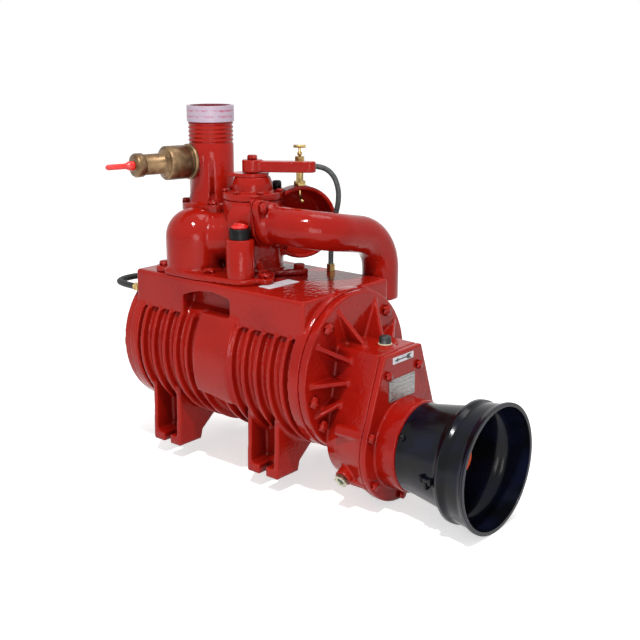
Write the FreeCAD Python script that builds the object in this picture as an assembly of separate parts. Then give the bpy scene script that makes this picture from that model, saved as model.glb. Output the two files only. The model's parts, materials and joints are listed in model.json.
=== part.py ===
import FreeCAD, Part
import math
import os

from FreeCAD import Vector

# Rotary vane vacuum pump with a step-up gearbox and a changeover valve on top.
# Frame in millimetres: X along the shafts towards the drive end, Z up, Y across.
# The origin is on the foot plane, at the centre of the four feet.

# Clearances
RUN = 0.05
SEAT = 0.02
GAP = 0.4
HOLE_GAP = 0.3

# Pump barrel
AXIS_Z = 174.0
REAR_X = -177.0
FRONT_X = 207.0
BARREL_R = 118.0
BORE_R = 98.0
BORE_DROP = 12.0
RIM_R = 130.0
RIM_T = 20.0
FIN_R = 131.0
FIN_T = 7.0
FIN_PITCH = 27.0
FIN_FIRST = 24.0
FIN_COUNT = 6

# Smooth duct down the near and far sides of the barrel
TROUGH_X = 25.0
TROUGH_W = 78.0
TROUGH_R = 136.0
TROUGH_LOW_Z = 112.0
TROUGH_TILT = 8.0

# Oil tank on top of the barrel
TANK_FRONT_X = 201.0
TANK_HALF = 108.0
TANK_LOW_Z = 240.0
TANK_TOP_Z = 302.0
TANK_EDGE = 5.0
RECESS_X0 = -62.0
RECESS_X1 = 46.0
RECESS_DEPTH = 26.0
RECESS_LIP = 16.0

# Feet
FOOT_PITCH = 226.0
FOOT_LEN = 67.5
FOOT_Y = 109.0
FOOT_PAD_IN = 57.0
FOOT_PAD_T = 16.0
FOOT_WEB_T = 9.0
FOOT_WEB_TOP = 112.0
FOOT_WALL_Y = 62.0
FOOT_WALL_TOP = 84.0
FOOT_SLOT_W = 14.0
FOOT_SLOT_DEPTH = 26.0

# End covers
COVER_R = 128.0
COVER_T = 14.0
RIB_T = 7.0
RIB_OUT_R = 119.0
RIB_IN_R = 58.0
RIB_H = 34.0
RIB_ANGLES = (0.0, 31.0, 66.0, 114.0, 149.0, 180.0, 207.0, 333.0)
COVER_BOLT_R = 112.0
COVER_BOLT_ANGLES = (48.0, 132.0, 193.0, 218.0, 322.0, 347.0)
REAR_BOSS_R = 56.0
REAR_BOSS_H = 26.0
REAR_CAP_T = 7.0
REAR_SEAT_DEPTH = 26.0

# Gearbox on the front cover
PTO_Z = 75.0
CASE_FACE_X = 300.0
CASE_WALL = 7.0
CASE_TOP_Z = 224.0
CASE_TOP_HALF = 48.0
CASE_R = 96.0
CASE_ROOT_R = 74.0
CASE_ROOT_HALF = 50.0
CASE_COVER_T = 11.0
CASE_BOLT_INSET = 8.0
CASE_TOP_BOLT_DROP = 32.0
CASE_BOLT_GRIP = 14.0
CASE_LAND_R = 9.5
CASE_LAND_L = 53.0
BOSS_R = 73.0
BOSS_FACE_X = 334.0
SPIGOT_X = 360.0
SPIGOT_BORE_R = 59.0
BOSS_WEB = 6.0
LEVEL_X = 264.0
LEVEL_ANGLE = 207.0
LEVEL_BOSS_R = 14.0
LEVEL_BOSS_L = 34.0
LEVEL_THREAD_R = 8.0
LEVEL_PROUD = 5.0
LEVEL_AF = 21.0
LEVEL_HEAD = 6.0
BREATHER_X = 275.0
BREATHER_BOSS_R = 12.0
BREATHER_BOSS_H = 3.0
BREATHER_THREAD_R = 6.0

# Gears
MODULE = 3.0
GEAR_TEETH = 46
PINION_TEETH = 20
GEAR_W = 24.0
GEAR_X = 252.0
PRESSURE_ANGLE = 20.0
BACKLASH = 0.35

# Rotor
ROTOR_R = 85.0
ROTOR_END_GAP = 0.5
VANE_COUNT = 6
VANE_T = 7.0
VANE_H = 46.0
VANE_CLEAR = 0.1
VANE_DROP = 0.6
VANE_OFFSET = 14.0
VANE_FIRST_ANGLE = 15.0
ROTOR_SHAFT_R = 20.0
ROTOR_CORE_R = 24.0

# Bearings and seals
ROTOR_BEARING_R = 40.0
ROTOR_BEARING_W = 18.0
ROTOR_BEARING_INSET = 9.0
INPUT_SHAFT_R = 25.0
INPUT_BEARING_R = 45.0
INPUT_BEARING_W = 16.0
INPUT_BEARING_INSET = 8.0
INPUT_SEAL_R = 36.0
SEAL_T = 8.0

# Drive shaft end and its guard
SPLINE_R = 17.45
SPLINE_ROOT_R = 14.5
SPLINE_COUNT = 6
SPLINE_TOOTH_W = 8.7
SPLINE_END_X = 420.0
SPLINE_LEN = 72.0
SPLINE_CAP_T = 4.0
SHIELD_T = 3.0
SHIELD_REAR_R = 71.0
SHIELD_WAIST_R = 84.0
SHIELD_BEAD_X = 434.0
SHIELD_BEAD_R = 95.0
SHIELD_BEAD_W = 7.0
SHIELD_MOUTH_X = 483.0
SHIELD_MOUTH_R = 100.0
SHIELD_LAP = 12.0
SHIELD_SCREW_R = 2.5
SHIELD_SCREW_L = 13.0

# Changeover valve: chamber, plug and cover
CHAMBER_R = 50.0
CHAMBER_BORE_R = 42.0
CHAMBER_TOP_Z = 428.0
CHAMBER_FLOOR = 8.0
MANIFOLD_T = 10.0
PLUG_WALL = 12.0
PLUG_DISC = 8.0
VALVE_COVER_T = 12.0
VALVE_COVER_R = 51.0
VALVE_DOME_R = 34.0
VALVE_DOME_TOP_R = 29.0
VALVE_DOME_H = 24.0
SPINDLE_R = 9.0
VENT_ANGLE = 78.0
VENT_DIST = 49.0
VENT_LOBE_R = 14.0
VENT_PLUG_R = 8.0
VENT_PLUG_H = 11.0
VENT_THREAD_R = 5.0
VALVE_BOLT_ANGLES = (28.0, 128.0, 178.0, 228.0, 278.0, 328.0)
INDEX_T = 6.0
INDEX_R = 27.0
INDEX_REACH = 34.0
INDEX_ANGLE = 219.0
LEVER_ANGLE = 33.0
LEVER_LEN = 94.0
LEVER_W = 22.0
LEVER_T = 18.0
LEVER_HUB_R = 17.0
LEVER_HUB_H = 21.0

# Check valve dome and tank port
DOME_X = -80.0
DOME_Y = -58.0
DOME_R = 49.0
DOME_WALL = 7.0
DOME_SPRING_Z = 362.0
BALL_R = 27.0
BALL_LIFT = 18.0
SEAT_R = 20.0
SEAT_H = 8.0
PORT_X = -95.0
PORT_Y = 0.0
PORT_FACE_Z = 402.0
PORT_FLANGE_R = 52.0
PORT_FLANGE_T = 12.0
PORT_PCD_R = 44.0
PORT_R = 38.0
PORT_BORE_R = 32.0
PORT_TOP_Z = 574.0
THREAD_LEN = 62.0
THREAD_PITCH = 7.0
THREAD_DEPTH = 1.6
THREAD_CAP_H = 25.0
THREAD_CAP_T = 1.2

# Relief valve on the tank port
RELIEF_Z = 484.0
RELIEF_ANGLE = 256.0
RELIEF_BOSS_R = 24.0
RELIEF_BOSS_END = 40.0
RELIEF_COLLAR_R = 29.5
RELIEF_COLLAR_L = 7.0
RELIEF_R = 28.0
RELIEF_LEN = 43.0
RELIEF_CONE = 7.0
RELIEF_NECK_R = 17.0
RELIEF_NECK_L = 32.0
RELIEF_NUT_R = 19.5
RELIEF_NUT_L = 17.0
RELIEF_TIP_L = 48.0
RELIEF_TIP_R = 7.5
RELIEF_TIP_END_R = 4.6
RELIEF_STEM_R = 3.5
RELIEF_BORE_R = 20.0
RELIEF_SEAT_R = 13.0
RELIEF_TRAVEL = 6.0
POPPET_INSET = 6.0
POPPET_T = 6.0
RELIEF_WIRE_R = 1.6
SPRING_GAP = 0.3

# Outlet elbow
ELBOW_X = 62.0
ELBOW_Y = -20.0
ELBOW_Z = 393.0
ELBOW_ANGLE = 8.0
ELBOW_R = 31.0
ELBOW_BORE_R = 26.0
ELBOW_FLANGE_T = 12.0
ELBOW_PAD_T = 11.0
ELBOW_LOZENGE = 43.0
ELBOW_LOBE_R = 13.0
ELBOW_RING_R = 35.0
ELBOW_REACH = 86.0
ELBOW_DROP_X = 157.0
ELBOW_TANK_GAP = 6.0
ELBOW_DROP_Z = 362.0
ELBOW_BEND_R = 68.0
ELBOW_MOUTH_Z = 256.0
ELBOW_BOLT_GRIP = 4.0

# Intake hood behind the valve, with the flushing tap on it
HOOD_X = 57.0
HOOD_Y = 60.0
HOOD_Z = 385.0
HOOD_ANGLE = -30.0
HOOD_R = 61.0
HOOD_WALL = 7.0
HOOD_BACK = 52.0
HOOD_FRONT = 0.0
TAP_BACK = 14.0
TAP_BASE_R = 9.5
TAP_BASE_H = 7.0
TAP_BODY_R = 6.0
TAP_BODY_H = 32.0
TAP_NUT_R = 8.0
TAP_NUT_H = 9.0
TAP_STEM_R = 2.2
TAP_STEM_H = 18.0
TAP_BAR_L = 20.0
TAP_BAR_R = 2.6
TAP_OUTLET_ANGLE = 40.0
TAP_OUTLET_L = 13.0
TAP_OUTLET_R = 3.4
TAP_OUTLET_DROP = 7.0
DRIP_R = 2.2

# Oil filler
FILLER_X = 39.0
FILLER_Y = -73.0
FILLER_R = 23.0
FILLER_TOP_Z = 374.0
FILLER_BORE_R = 10.0
FILLER_COLLAR_R = 17.0
FILLER_COLLAR_H = 17.0
FILLER_CAP_R = 13.5
FILLER_CAP_H = 5.0

# Oil hoses
HOSE_R = 4.5
REAR_HOSE_R = 5.5
FITTING_AF = 13.0
FITTING_L = 12.0
REAR_HOSE_LEG = 22.0
FRONT_FITTING = Vector(92.0, 92.0, TANK_TOP_Z)
TANK_FITTING = Vector(REAR_X, -100.0, 267.0)
REAR_FITTING = Vector(REAR_X - COVER_T, -14.0, 267.0)

# Small parts
M10_AF = 17.0
M10_HEAD = 6.4
M10_R = 5.0
M10_GRIP = 16.0
M8_AF = 13.0
M8_HEAD = 5.3
M8_R = 4.0
M8_GRIP = 12.0
M6_AF = 10.0
M6_HEAD = 4.0
M6_R = 3.0
M6_GRIP = 12.0
SPOT_FACE = 0.62
GASKET_T = 0.8
PLATE_T = 1.2
PLATE_W = 67.0
PLATE_H = 35.0

X = Vector(1, 0, 0)
Y = Vector(0, 1, 0)
Z = Vector(0, 0, 1)


def polar(angle):
    """Unit vector in the ground plane at an angle from +X."""
    a = math.radians(angle)
    return Vector(math.cos(a), math.sin(a), 0)


def around_x(radius, angle, x, centre_z):
    """Point on a circle about a shaft axis, the angle counted from +Y towards +Z."""
    a = math.radians(angle)
    return Vector(x, radius * math.cos(a), centre_z + radius * math.sin(a))


def cyl(radius, length, base, axis=Z):
    return Part.makeCylinder(radius, length, base, axis)


def ring(outer, inner, length, base, axis=Z):
    return cyl(outer, length, base, axis).cut(cyl(inner, length, base, axis))


def block(x0, x1, y0, y1, z0, z1):
    return Part.makeBox(x1 - x0, y1 - y0, z1 - z0, Vector(x0, y0, z0))


def join(shapes):
    whole = shapes[0]
    if len(shapes) > 1:
        whole = whole.fuse(shapes[1:])
    return whole.removeSplitter()


def face_of(points):
    return Part.Face(Part.makePolygon(points + points[:1]))


def hexagon(across_flats, length, base, axis=Z):
    """Hexagonal prism along an axis."""
    r = across_flats / math.sqrt(3)
    corners = [Vector(r * math.cos(math.radians(60 * k)), r * math.sin(math.radians(60 * k)), 0)
               for k in range(6)]
    solid = face_of(corners).extrude(Vector(0, 0, length))
    solid.Placement = FreeCAD.Placement(base, FreeCAD.Rotation(Z, axis))
    return solid


def bolt(af, head, radius, length, seat, axis):
    """Hexagon bolt: the head stands on its seat, the shank goes down from it."""
    crown = hexagon(af, head, seat, axis)
    dome = cyl(af / 2 * 0.94, head * 0.14, seat + axis * head, axis)
    shank = cyl(radius, length, seat - axis * length, axis)
    return crown.fuse([dome, shank]).removeSplitter()


def turned(profile, base, axis):
    """Solid of revolution: the profile is a list of (radius, distance along the axis)."""
    wire = Part.makePolygon([Vector(r, 0, h) for r, h in profile + profile[:1]])
    solid = Part.Face(wire).revolve(Vector(0, 0, 0), Z, 360)
    solid.Placement = FreeCAD.Placement(base, FreeCAD.Rotation(Z, axis))
    return solid


def route(points, radii):
    """Wire of straight runs joined by tangent arcs, one radius for each inner point."""
    edges = []
    start = points[0]
    for k, radius in enumerate(radii):
        corner = points[k + 1]
        d_in = (corner - points[k]).normalize()
        d_out = (points[k + 2] - corner).normalize()
        turn = d_in.getAngle(d_out)
        reach = radius * math.tan(turn / 2)
        p = corner - d_in * reach
        q = corner + d_out * reach
        inward = (d_out - d_in).normalize()
        middle = corner + inward * (radius / math.cos(turn / 2) - radius)
        if (p - start).Length > 1e-6:
            edges.append(Part.LineSegment(start, p).toShape())
        edges.append(Part.Arc(p, middle, q).toShape())
        start = q
    edges.append(Part.LineSegment(start, points[-1]).toShape())
    return Part.Wire(edges)


def sweep(points, radii, radius):
    """Round bar along a route."""
    spine = route(points, radii)
    start_dir = points[1] - points[0]
    circle = Part.Wire(Part.makeCircle(radius, points[0], start_dir))
    return spine.makePipeShell([circle], True, False)


def tangent_radii(points):
    """Bend radii as large as the runs on both sides allow."""
    radii = []
    for a, b, c in zip(points, points[1:], points[2:]):
        turn = (b - a).getAngle(c - b)
        run = min((b - a).Length, (c - b).Length)
        radii.append(0.45 * run / math.tan(turn / 2))
    return radii


def hull_of_circles(x0, y0, r0, x1, y1, r1):
    """Face in the XY plane: the outline that wraps two circles."""
    dx, dy = x1 - x0, y1 - y0
    dist = math.hypot(dx, dy)
    base = math.atan2(dy, dx)
    tilt = math.acos((r0 - r1) / dist)

    def at(x, y, r, a):
        return Vector(x + r * math.cos(a), y + r * math.sin(a), 0)

    a0, a1 = base + tilt, base - tilt
    p0, p1 = at(x0, y0, r0, a0), at(x0, y0, r0, a1)
    q0, q1 = at(x1, y1, r1, a0), at(x1, y1, r1, a1)
    edges = [Part.Arc(p0, at(x0, y0, r0, base + math.pi), p1).toShape(),
             Part.LineSegment(p1, q1).toShape(),
             Part.Arc(q1, at(x1, y1, r1, base), q0).toShape(),
             Part.LineSegment(q0, p0).toShape()]
    return Part.Face(Part.Wire(edges))


def case_outline(x, radius, top_half, top_z):
    """Wire in a plane across the shafts: a flat top, sloping sides and a round bottom."""
    reach = math.hypot(top_half, top_z - PTO_Z)
    lean = math.atan2(top_z - PTO_Z, top_half)
    touch = lean - math.acos(radius / reach)
    right = Vector(x, radius * math.cos(touch), PTO_Z + radius * math.sin(touch))
    left = Vector(x, -right.y, right.z)
    top_r, top_l = Vector(x, top_half, top_z), Vector(x, -top_half, top_z)
    low = Vector(x, 0, PTO_Z - radius)
    edges = [Part.LineSegment(top_l, top_r).toShape(), Part.LineSegment(top_r, right).toShape(),
             Part.Arc(right, low, left).toShape(), Part.LineSegment(left, top_l).toShape()]
    return Part.Wire(edges)


def case_face_at(inset):
    """Points for bolts round the gearbox face, set in from its edge."""
    reach = math.hypot(CASE_TOP_HALF, CASE_TOP_Z - PTO_Z)
    touch = math.atan2(CASE_TOP_Z - PTO_Z, CASE_TOP_HALF) - math.acos(CASE_R / reach)
    r = CASE_R - inset
    points = []
    for angle in (math.degrees(touch), -35.0, -90.0, -145.0, 180.0 - math.degrees(touch)):
        points.append(around_x(r, angle, 0, PTO_Z))
    for side in (1, -1):
        points.append(Vector(0, side * (CASE_TOP_HALF - inset), CASE_TOP_Z - CASE_TOP_BOLT_DROP))
    return points


CASE_JOINT_X = CASE_FACE_X + CASE_COVER_T
MANIFOLD_Z = TANK_TOP_Z + MANIFOLD_T
COVER_FACE_X = FRONT_X + COVER_T
VALVE_COVER_Z = CHAMBER_TOP_Z + VALVE_COVER_T
INDEX_Z = VALVE_COVER_Z + VALVE_DOME_H
LEVER_Z = INDEX_Z + INDEX_T + GAP
RELIEF_DIR = polar(RELIEF_ANGLE)
RELIEF_BASE = Vector(PORT_X, PORT_Y, RELIEF_Z)
ELBOW_DIR = polar(ELBOW_ANGLE)
ELBOW_DROP_Y = TANK_HALF + ELBOW_R + ELBOW_TANK_GAP
ELBOW_FACE = Vector(ELBOW_X, ELBOW_Y, ELBOW_Z)
HOOD_DIR = polar(HOOD_ANGLE)
HOOD_CENTRE = Vector(HOOD_X, HOOD_Y, HOOD_Z)
TAP_SEAT = Vector(HOOD_X, HOOD_Y, HOOD_Z + HOOD_R) - HOOD_DIR * TAP_BACK
PORT_ANGLES = (45.0, 135.0, 225.0, 315.0)
VENT = polar(VENT_ANGLE) * VENT_DIST

# Places of the bearings along the shafts
ROTOR_BEARING_X = FRONT_X + ROTOR_BEARING_INSET
INPUT_REAR_BEARING_X = COVER_FACE_X + INPUT_BEARING_INSET
REAR_HUB_X = REAR_X - COVER_T - REAR_BOSS_H
REAR_BEARING_X = REAR_HUB_X + REAR_SEAT_DEPTH - ROTOR_BEARING_W

# Vanes reach just short of the rotor's rim
VANE_REACH = math.sqrt(ROTOR_R ** 2 - (VANE_OFFSET + VANE_T / 2) ** 2) - VANE_DROP

# Seat of the level plug on its slanted boss
LEVEL_DIR = Vector(0, math.cos(math.radians(LEVEL_ANGLE)), math.sin(math.radians(LEVEL_ANGLE)))
LEVEL_SEAT = Vector(LEVEL_X, 0, PTO_Z) + LEVEL_DIR * (CASE_R + LEVEL_PROUD)

# Stations along the relief valve, counted from the tank port's axis
RELIEF_S0 = RELIEF_BOSS_END
RELIEF_S1 = RELIEF_S0 + RELIEF_COLLAR_L
RELIEF_S2 = RELIEF_S1 + RELIEF_LEN
RELIEF_S3 = RELIEF_S2 + RELIEF_CONE
RELIEF_S4 = RELIEF_S3 + RELIEF_NECK_L
RELIEF_S5 = RELIEF_S4 + RELIEF_NUT_L
POPPET_S = RELIEF_S0 + POPPET_INSET

# Side outlet of the tap
TAP_OUTLET_DIR = polar(TAP_OUTLET_ANGLE)
TAP_OUTLET = TAP_SEAT + Z * (TAP_BASE_H + TAP_BODY_H - TAP_OUTLET_DROP)


def cover_bolt_points(x):
    return [around_x(COVER_BOLT_R, angle, x, AXIS_Z) for angle in COVER_BOLT_ANGLES]


def foot_centres():
    half = FOOT_PITCH / 2
    return [(sx * half, sy) for sx in (-1, 1) for sy in (-1, 1)]


def make_foot(x, side):
    """One foot: a notched pad under two webs and a wall that run up to the barrel."""
    x0, x1 = x - FOOT_LEN / 2, x + FOOT_LEN / 2
    pad = block(x0, x1, FOOT_PAD_IN, FOOT_Y, 0, FOOT_PAD_T)
    web = [Vector(0, FOOT_Y, 0), Vector(0, FOOT_PAD_IN, 0), Vector(0, FOOT_PAD_IN - 4, FOOT_PAD_T),
           Vector(0, 0, AXIS_Z - BARREL_R + 2), Vector(0, 40, AXIS_Z - BARREL_R + 30),
           Vector(0, FOOT_Y - 10, FOOT_WEB_TOP), Vector(0, FOOT_Y - 3, FOOT_WEB_TOP - 6)]
    wall = block(x0, x1, FOOT_WALL_Y, FOOT_WALL_Y + FOOT_WEB_T, FOOT_PAD_T - 1, FOOT_WALL_TOP)
    solid = [pad, wall]
    for left in (x0, x1 - FOOT_WEB_T):
        plate = face_of([p + X * left for p in web]).extrude(X * FOOT_WEB_T)
        solid.append(plate)
    foot = join(solid)
    notch_in = FOOT_Y - FOOT_SLOT_DEPTH
    notch = block(x - FOOT_SLOT_W / 2, x + FOOT_SLOT_W / 2, notch_in, FOOT_Y + 1, -1, FOOT_PAD_T + 1)
    notch = notch.fuse(cyl(FOOT_SLOT_W / 2, FOOT_PAD_T + 2, Vector(x, notch_in, -1)))
    foot = foot.cut(notch)
    if side < 0:
        foot = foot.mirror(Vector(0, 0, 0), Y)
    return foot


def trough(side):
    """Raised smooth duct that comes down one side of the barrel between the fins."""
    half = TROUGH_W / 2
    band = cyl(TROUGH_R, TROUGH_W, Vector(TROUGH_X - half, 0, AXIS_Z), X)
    slant = math.tan(math.radians(TROUGH_TILT)) * TROUGH_W
    y = side * (TROUGH_R + 10)
    x0, x1 = TROUGH_X - half, TROUGH_X + half
    top = TANK_LOW_Z + 12
    keep = face_of([Vector(x0, 0, TROUGH_LOW_Z + slant), Vector(x1, 0, TROUGH_LOW_Z),
                    Vector(x1, 0, top), Vector(x0, 0, top)])
    band = band.common(keep.extrude(Y * y))
    return band


def make_housing():
    """Main casting: barrel, fins, end rims, oil tank, side ducts and feet."""
    length = FRONT_X - REAR_X
    parts = [cyl(BARREL_R, length, Vector(REAR_X, 0, AXIS_Z), X)]
    below_tank = block(REAR_X - 1, FRONT_X + 1, -200, 200, 0, TANK_LOW_Z + 1)
    fins = []
    for side in (-1, 1):
        mid = (REAR_X + FRONT_X) / 2
        for k in range(FIN_COUNT):
            x = mid + side * (FIN_FIRST + FIN_PITCH * k) - FIN_T / 2
            fins.append(cyl(FIN_R, FIN_T, Vector(x, 0, AXIS_Z), X))
    fins = [f.common(below_tank) for f in fins]
    rims = [cyl(RIM_R, RIM_T, Vector(REAR_X, 0, AXIS_Z), X),
            cyl(RIM_R, RIM_T, Vector(FRONT_X - RIM_T, 0, AXIS_Z), X)]
    tank = block(REAR_X, TANK_FRONT_X, -TANK_HALF, TANK_HALF, TANK_LOW_Z, TANK_TOP_Z)
    edges = [e for e in tank.Edges if abs(e.CenterOfMass.z - TANK_TOP_Z) < 0.1
             or (abs(e.CenterOfMass.z - (TANK_TOP_Z + TANK_LOW_Z) / 2) < 0.1)]
    tank = tank.makeFillet(TANK_EDGE, edges)
    for side in (-1, 1):
        tank = tank.cut(recess(side))
    parts += fins + rims + [tank, trough(-1), trough(1)]
    parts += [make_foot(x, side) for x, side in foot_centres()]
    body = join(parts)
    body = body.cut(cyl(BORE_R, length, Vector(REAR_X, 0, AXIS_Z - BORE_DROP), X))
    for base in (Vector(REAR_X, 0, 0), Vector(FRONT_X - RIM_T, 0, 0)):
        for p in cover_bolt_points(0):
            body = body.cut(cyl(M10_R + HOLE_GAP, RIM_T, base + p, X))
    port_r = SEAT_R
    port_z = AXIS_Z - BORE_DROP
    body = body.cut(cyl(port_r, TANK_TOP_Z - port_z + 1, Vector(DOME_X, DOME_Y, port_z)))
    body = body.cut(cyl(port_r, TANK_TOP_Z - port_z + 1, Vector(0, 0, port_z)))
    for p in manifold_bolt_points():
        body = body.cut(cyl(M10_R + HOLE_GAP, M10_GRIP + 2, p - Z * (M10_GRIP + 2)))
    body = body.cut(cyl(FILLER_BORE_R, 34, Vector(FILLER_X, FILLER_Y, TANK_TOP_Z - 34)))
    return body


def recess(side):
    """Hollow in the side of the tank under a wavy lip, over the smooth duct."""
    y = side * TANK_HALF
    inner = side * (TANK_HALF - RECESS_DEPTH)
    low, top = TANK_LOW_Z - 1, TANK_TOP_Z - RECESS_LIP
    mid = (RECESS_X0 + RECESS_X1) / 2
    low0, low1 = Vector(RECESS_X0, y, low), Vector(RECESS_X1, y, low)
    top0, top1 = Vector(RECESS_X0, y, top - 14), Vector(RECESS_X1, y, top - 6)
    edges = [Part.LineSegment(low0, top0).toShape(), Part.Arc(top0, Vector(mid, y, top), top1).toShape(),
             Part.LineSegment(top1, low1).toShape(), Part.LineSegment(low1, low0).toShape()]
    return Part.Face(Part.Wire(edges)).extrude(Vector(0, inner - y, 0))


def manifold_bolt_points():
    spots = [(DOME_X - 46, DOME_Y - 28), (DOME_X + 56, DOME_Y - 24), (72, -52), (-78, 66), (66, 40)]
    return [Vector(x, y, TANK_TOP_Z) for x, y in spots]


def end_ribs(face_x, direction, height):
    """Triangular ribs that stand on a cover's face and rise towards its hub."""
    ribs = []
    for angle in RIB_ANGLES:
        a = math.radians(angle)
        u = Vector(0, math.cos(a), math.sin(a))
        w = u.cross(X)
        centre = Vector(face_x, 0, AXIS_Z)
        profile = [centre + u * (RIB_IN_R - 12), centre + u * RIB_OUT_R,
                   centre + u * RIB_IN_R + X * direction * height,
                   centre + u * (RIB_IN_R - 12) + X * direction * height]
        rib = face_of([p - w * (RIB_T / 2) for p in profile]).extrude(w * RIB_T)
        ribs.append(rib)
    return ribs


def make_front_cover():
    """Front cover with its ribs and the open gearbox case cast on."""
    disc = cyl(COVER_R, COVER_T, Vector(FRONT_X, 0, AXIS_Z), X)
    root = case_outline(COVER_FACE_X - 2, CASE_ROOT_R, CASE_ROOT_HALF, CASE_TOP_Z)
    rim = case_outline(CASE_FACE_X, CASE_R, CASE_TOP_HALF, CASE_TOP_Z)
    case = Part.makeLoft([root, rim], True, True)
    inner_root = case_outline(COVER_FACE_X + 6, CASE_ROOT_R - CASE_WALL, CASE_ROOT_HALF - CASE_WALL,
                              CASE_TOP_Z - CASE_WALL)
    inner_rim = case_outline(CASE_FACE_X, CASE_R - CASE_WALL, CASE_TOP_HALF - CASE_WALL,
                             CASE_TOP_Z - CASE_WALL)
    hollow = Part.makeLoft([inner_root, inner_rim], True, True)
    plug_boss = cyl(LEVEL_BOSS_R, LEVEL_BOSS_L, LEVEL_SEAT - LEVEL_DIR * LEVEL_BOSS_L, LEVEL_DIR)
    land_x = CASE_FACE_X - CASE_LAND_L
    envelope = Part.Face(case_outline(land_x, CASE_R, CASE_TOP_HALF, CASE_TOP_Z)).extrude(X * CASE_LAND_L)
    bolt_lands = [cyl(CASE_LAND_R, CASE_LAND_L, Vector(land_x, p.y, p.z), X).common(envelope)
                  for p in case_face_at(CASE_BOLT_INSET)]
    hub_len = INPUT_REAR_BEARING_X - COVER_FACE_X + INPUT_BEARING_W
    seats = [cyl(ROTOR_BEARING_R + 9, ROTOR_BEARING_X + ROTOR_BEARING_W - COVER_FACE_X + 2,
                 Vector(COVER_FACE_X - 2, 0, AXIS_Z), X),
             cyl(INPUT_BEARING_R + 7, hub_len, Vector(COVER_FACE_X, 0, PTO_Z), X)]
    breather_boss = cyl(BREATHER_BOSS_R, BREATHER_BOSS_H + 2, Vector(BREATHER_X, 0, CASE_TOP_Z - 2))
    outside = join([disc, case, plug_boss] + bolt_lands + end_ribs(COVER_FACE_X, 1, RIB_H))
    outside = outside.cut(hollow)
    inside = [s.common(case.fuse(disc)) for s in seats]
    body = join([outside, breather_boss] + inside)
    rotor_seat = Vector(ROTOR_BEARING_X, 0, AXIS_Z)
    input_seat = Vector(INPUT_REAR_BEARING_X, 0, PTO_Z)
    body = body.cut(cyl(ROTOR_BEARING_R + SEAT, ROTOR_BEARING_W + 10, rotor_seat, X))
    body = body.cut(cyl(ROTOR_CORE_R + 2, 60, Vector(FRONT_X - 1, 0, AXIS_Z), X))
    body = body.cut(cyl(INPUT_BEARING_R + SEAT, INPUT_BEARING_W + 10, input_seat, X))
    for p in cover_bolt_points(FRONT_X):
        body = body.cut(cyl(M10_R + HOLE_GAP, COVER_T, p, X))
    for p in case_face_at(CASE_BOLT_INSET):
        hole = cyl(M8_R + HOLE_GAP, CASE_BOLT_GRIP + 2, Vector(CASE_FACE_X - CASE_BOLT_GRIP - 2, p.y, p.z), X)
        body = body.cut(hole)
    plug_hole = cyl(LEVEL_THREAD_R + HOLE_GAP, LEVEL_BOSS_L, LEVEL_SEAT - LEVEL_DIR * LEVEL_BOSS_L, LEVEL_DIR)
    body = body.cut(plug_hole)
    body = body.cut(cyl(BREATHER_THREAD_R + HOLE_GAP, 20, Vector(BREATHER_X, 0, CASE_TOP_Z - 12)))
    return body


def make_rear_cover():
    """Rear cover: ribbed disc with a hub for the rotor's rear bearing."""
    disc = cyl(COVER_R, COVER_T, Vector(REAR_X - COVER_T, 0, AXIS_Z), X)
    hub = cyl(REAR_BOSS_R, REAR_BOSS_H, Vector(REAR_X - COVER_T - REAR_BOSS_H, 0, AXIS_Z), X)
    ribs = end_ribs(REAR_X - COVER_T, -1, REAR_BOSS_H - 6)
    body = join([disc, hub] + ribs)
    body = body.cut(cyl(ROTOR_BEARING_R + SEAT, REAR_SEAT_DEPTH, Vector(REAR_HUB_X, 0, AXIS_Z), X))
    body = body.cut(cyl(ROTOR_CORE_R + 2, COVER_T + REAR_BOSS_H + 1, Vector(REAR_HUB_X, 0, AXIS_Z), X))
    for p in cover_bolt_points(REAR_X - COVER_T):
        body = body.cut(cyl(M10_R + HOLE_GAP, COVER_T, p, X))
    for p in rear_cap_points(REAR_HUB_X):
        body = body.cut(cyl(M8_R + HOLE_GAP, M8_GRIP + 2, p, X))
    return body


def rear_cap_points(x):
    return [around_x(REAR_BOSS_R - 8, 45 + 90 * k, x, AXIS_Z) for k in range(4)]


def make_rear_bearing_cap():
    profile = [(0, 0), (REAR_BOSS_R - 1, 0), (REAR_BOSS_R - 1, REAR_CAP_T), (30, REAR_CAP_T),
               (26, REAR_CAP_T + 5), (0, REAR_CAP_T + 5)]
    cap = turned(profile, Vector(REAR_HUB_X, 0, AXIS_Z), -X)
    for p in rear_cap_points(REAR_HUB_X):
        cap = cap.cut(cyl(M8_R + HOLE_GAP, REAR_CAP_T + 1, p, -X))
    return cap


def make_bearing(outer, inner, width, x, z):
    """Ball bearing drawn as one ring with the gap between its races as a groove."""
    mid = (outer + inner) / 2
    groove = (outer - inner) * 0.18
    r_in = inner + RUN
    sunk = 1.5
    profile = [(r_in, 0), (mid - groove, 0), (mid - groove, sunk), (mid + groove, sunk), (mid + groove, 0),
               (outer, 0), (outer, width), (mid + groove, width), (mid + groove, width - sunk),
               (mid - groove, width - sunk), (mid - groove, width), (r_in, width)]
    return turned(profile, Vector(x, 0, z), X)


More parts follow.
